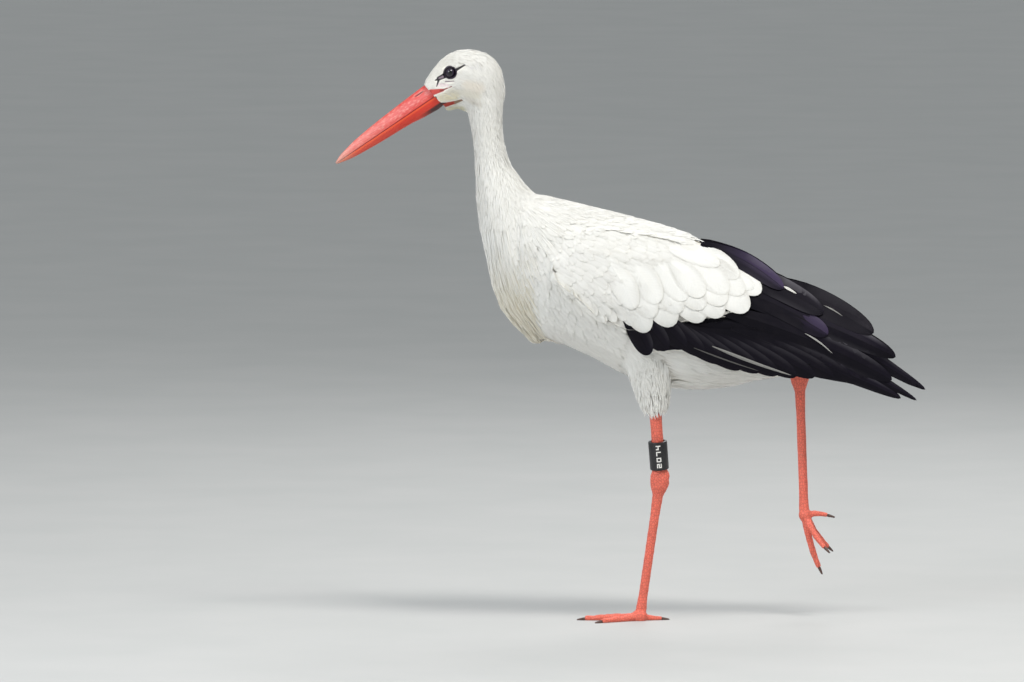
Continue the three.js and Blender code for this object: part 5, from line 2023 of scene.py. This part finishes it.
# ---------------------------------------------------------------- the add-on
class StorkSettings(bpy.types.PropertyGroup):
    """Sizes of the skin and coat, and the strength of the lights."""

    seed: bpy.props.IntProperty(name="Seed", description="Start of the feathers' variation", default=7)
    voxel: bpy.props.FloatProperty(name="Voxel", description="Grain of the skin, in mm", default=2.6)
    depth: bpy.props.FloatProperty(name="Depth", description="Share of the coat's depth", default=1.0)
    face_gap: bpy.props.FloatProperty(name="Face gap", description="Between tufts, in mm", default=2.3)
    plume_gap: bpy.props.FloatProperty(name="Plume gap", description="Between plumes, in mm", default=4.3)
    body_gap: bpy.props.FloatProperty(name="Body gap", description="Between feathers, in mm", default=6.6)
    thigh_gap: bpy.props.FloatProperty(name="Thigh gap", description="Between feathers, in mm", default=3.8)
    covert_gap: bpy.props.FloatProperty(name="Covert gap", description="Between coverts, in mm", default=8.5)
    key: bpy.props.FloatProperty(name="Key light", description="Power in watts", default=124.0)
    fill: bpy.props.FloatProperty(name="Fill light", description="Power in watts", default=96.0)
    rim: bpy.props.FloatProperty(name="Rim light", description="Power in watts", default=34.0)
    world: bpy.props.FloatProperty(name="Room light", description="Strength of the room's light", default=0.57)


def settings_of(context):
    return context.scene.stork


class STORK_OT_skin(bpy.types.Operator):
    """Builds the skin under the whole coat"""

    bl_idname = "stork.skin"
    bl_label = "Skin"

    def execute(self, context):
        make_skin(settings_of(context))
        return {"FINISHED"}


class STORK_OT_bill(bpy.types.Operator):
    """Builds both halves of the bill"""

    bl_idname = "stork.bill"
    bl_label = "Bill"

    def execute(self, context):
        make_bill(settings_of(context))
        return {"FINISHED"}


class STORK_OT_eyes(bpy.types.Operator):
    """Builds the eyeballs and lids"""

    bl_idname = "stork.eyes"
    bl_label = "Eyes and lids"

    def execute(self, context):
        make_eyes(settings_of(context))
        return {"FINISHED"}


class STORK_OT_claws(bpy.types.Operator):
    """Builds the claws of both feet"""

    bl_idname = "stork.claws"
    bl_label = "Claws"

    def execute(self, context):
        make_claws(settings_of(context))
        return {"FINISHED"}


class STORK_OT_ring(bpy.types.Operator):
    """Builds the plastic leg ring with plain numerals"""

    bl_idname = "stork.ring"
    bl_label = "Leg ring"

    def execute(self, context):
        make_ring(settings_of(context))
        return {"FINISHED"}


class STORK_OT_coat(bpy.types.Operator):
    """Grows the feathers of the head, neck, breast, body and thighs"""

    bl_idname = "stork.coat"
    bl_label = "Coat"

    def execute(self, context):
        settings = settings_of(context)
        make_head_coat(settings)
        make_neck_coat(settings)
        make_plumes(settings)
        make_body_coat(settings)
        make_thigh_coat(settings)
        return {"FINISHED"}


class STORK_OT_wings(bpy.types.Operator):
    """Builds the folded wings"""

    bl_idname = "stork.wings"
    bl_label = "Wings"

    def execute(self, context):
        make_wings(settings_of(context))
        return {"FINISHED"}


class STORK_OT_tail(bpy.types.Operator):
    """Builds the tail feathers"""

    bl_idname = "stork.tail"
    bl_label = "Tail"

    def execute(self, context):
        make_tail(settings_of(context))
        return {"FINISHED"}


class STORK_OT_stage(bpy.types.Operator):
    """Builds the floor, lights and camera"""

    bl_idname = "stork.stage"
    bl_label = "Stage"

    def execute(self, context):
        make_stage(settings_of(context))
        return {"FINISHED"}


OPERATORS = (
    STORK_OT_skin, STORK_OT_bill, STORK_OT_eyes, STORK_OT_claws, STORK_OT_ring,
    STORK_OT_coat, STORK_OT_wings, STORK_OT_tail, STORK_OT_stage,
)


class VIEW3D_PT_stork(bpy.types.Panel):
    """The stork's pieces and settings"""

    bl_label = "Stork"
    bl_idname = "VIEW3D_PT_stork"
    bl_space_type = "VIEW_3D"
    bl_region_type = "UI"
    bl_category = "Stork"

    def draw(self, context):
        settings = settings_of(context)
        for name in StorkSettings.__annotations__:
            self.layout.prop(settings, name)
        for operator in OPERATORS:
            self.layout.operator(operator.bl_idname)


CLASSES = (StorkSettings, *OPERATORS, VIEW3D_PT_stork)


def register():
    for item in CLASSES:
        bpy.utils.register_class(item)
    bpy.types.Scene.stork = bpy.props.PointerProperty(type=StorkSettings)


def unregister():
    del bpy.types.Scene.stork
    for item in reversed(CLASSES):
        bpy.utils.unregister_class(item)


def main():
    register()
    bpy.ops.stork.skin()
    bpy.ops.stork.bill()
    bpy.ops.stork.eyes()
    bpy.ops.stork.claws()
    bpy.ops.stork.ring()
    bpy.ops.stork.coat()
    bpy.ops.stork.wings()
    bpy.ops.stork.tail()
    bpy.ops.stork.stage()


if __name__ == "__main__":
    main()
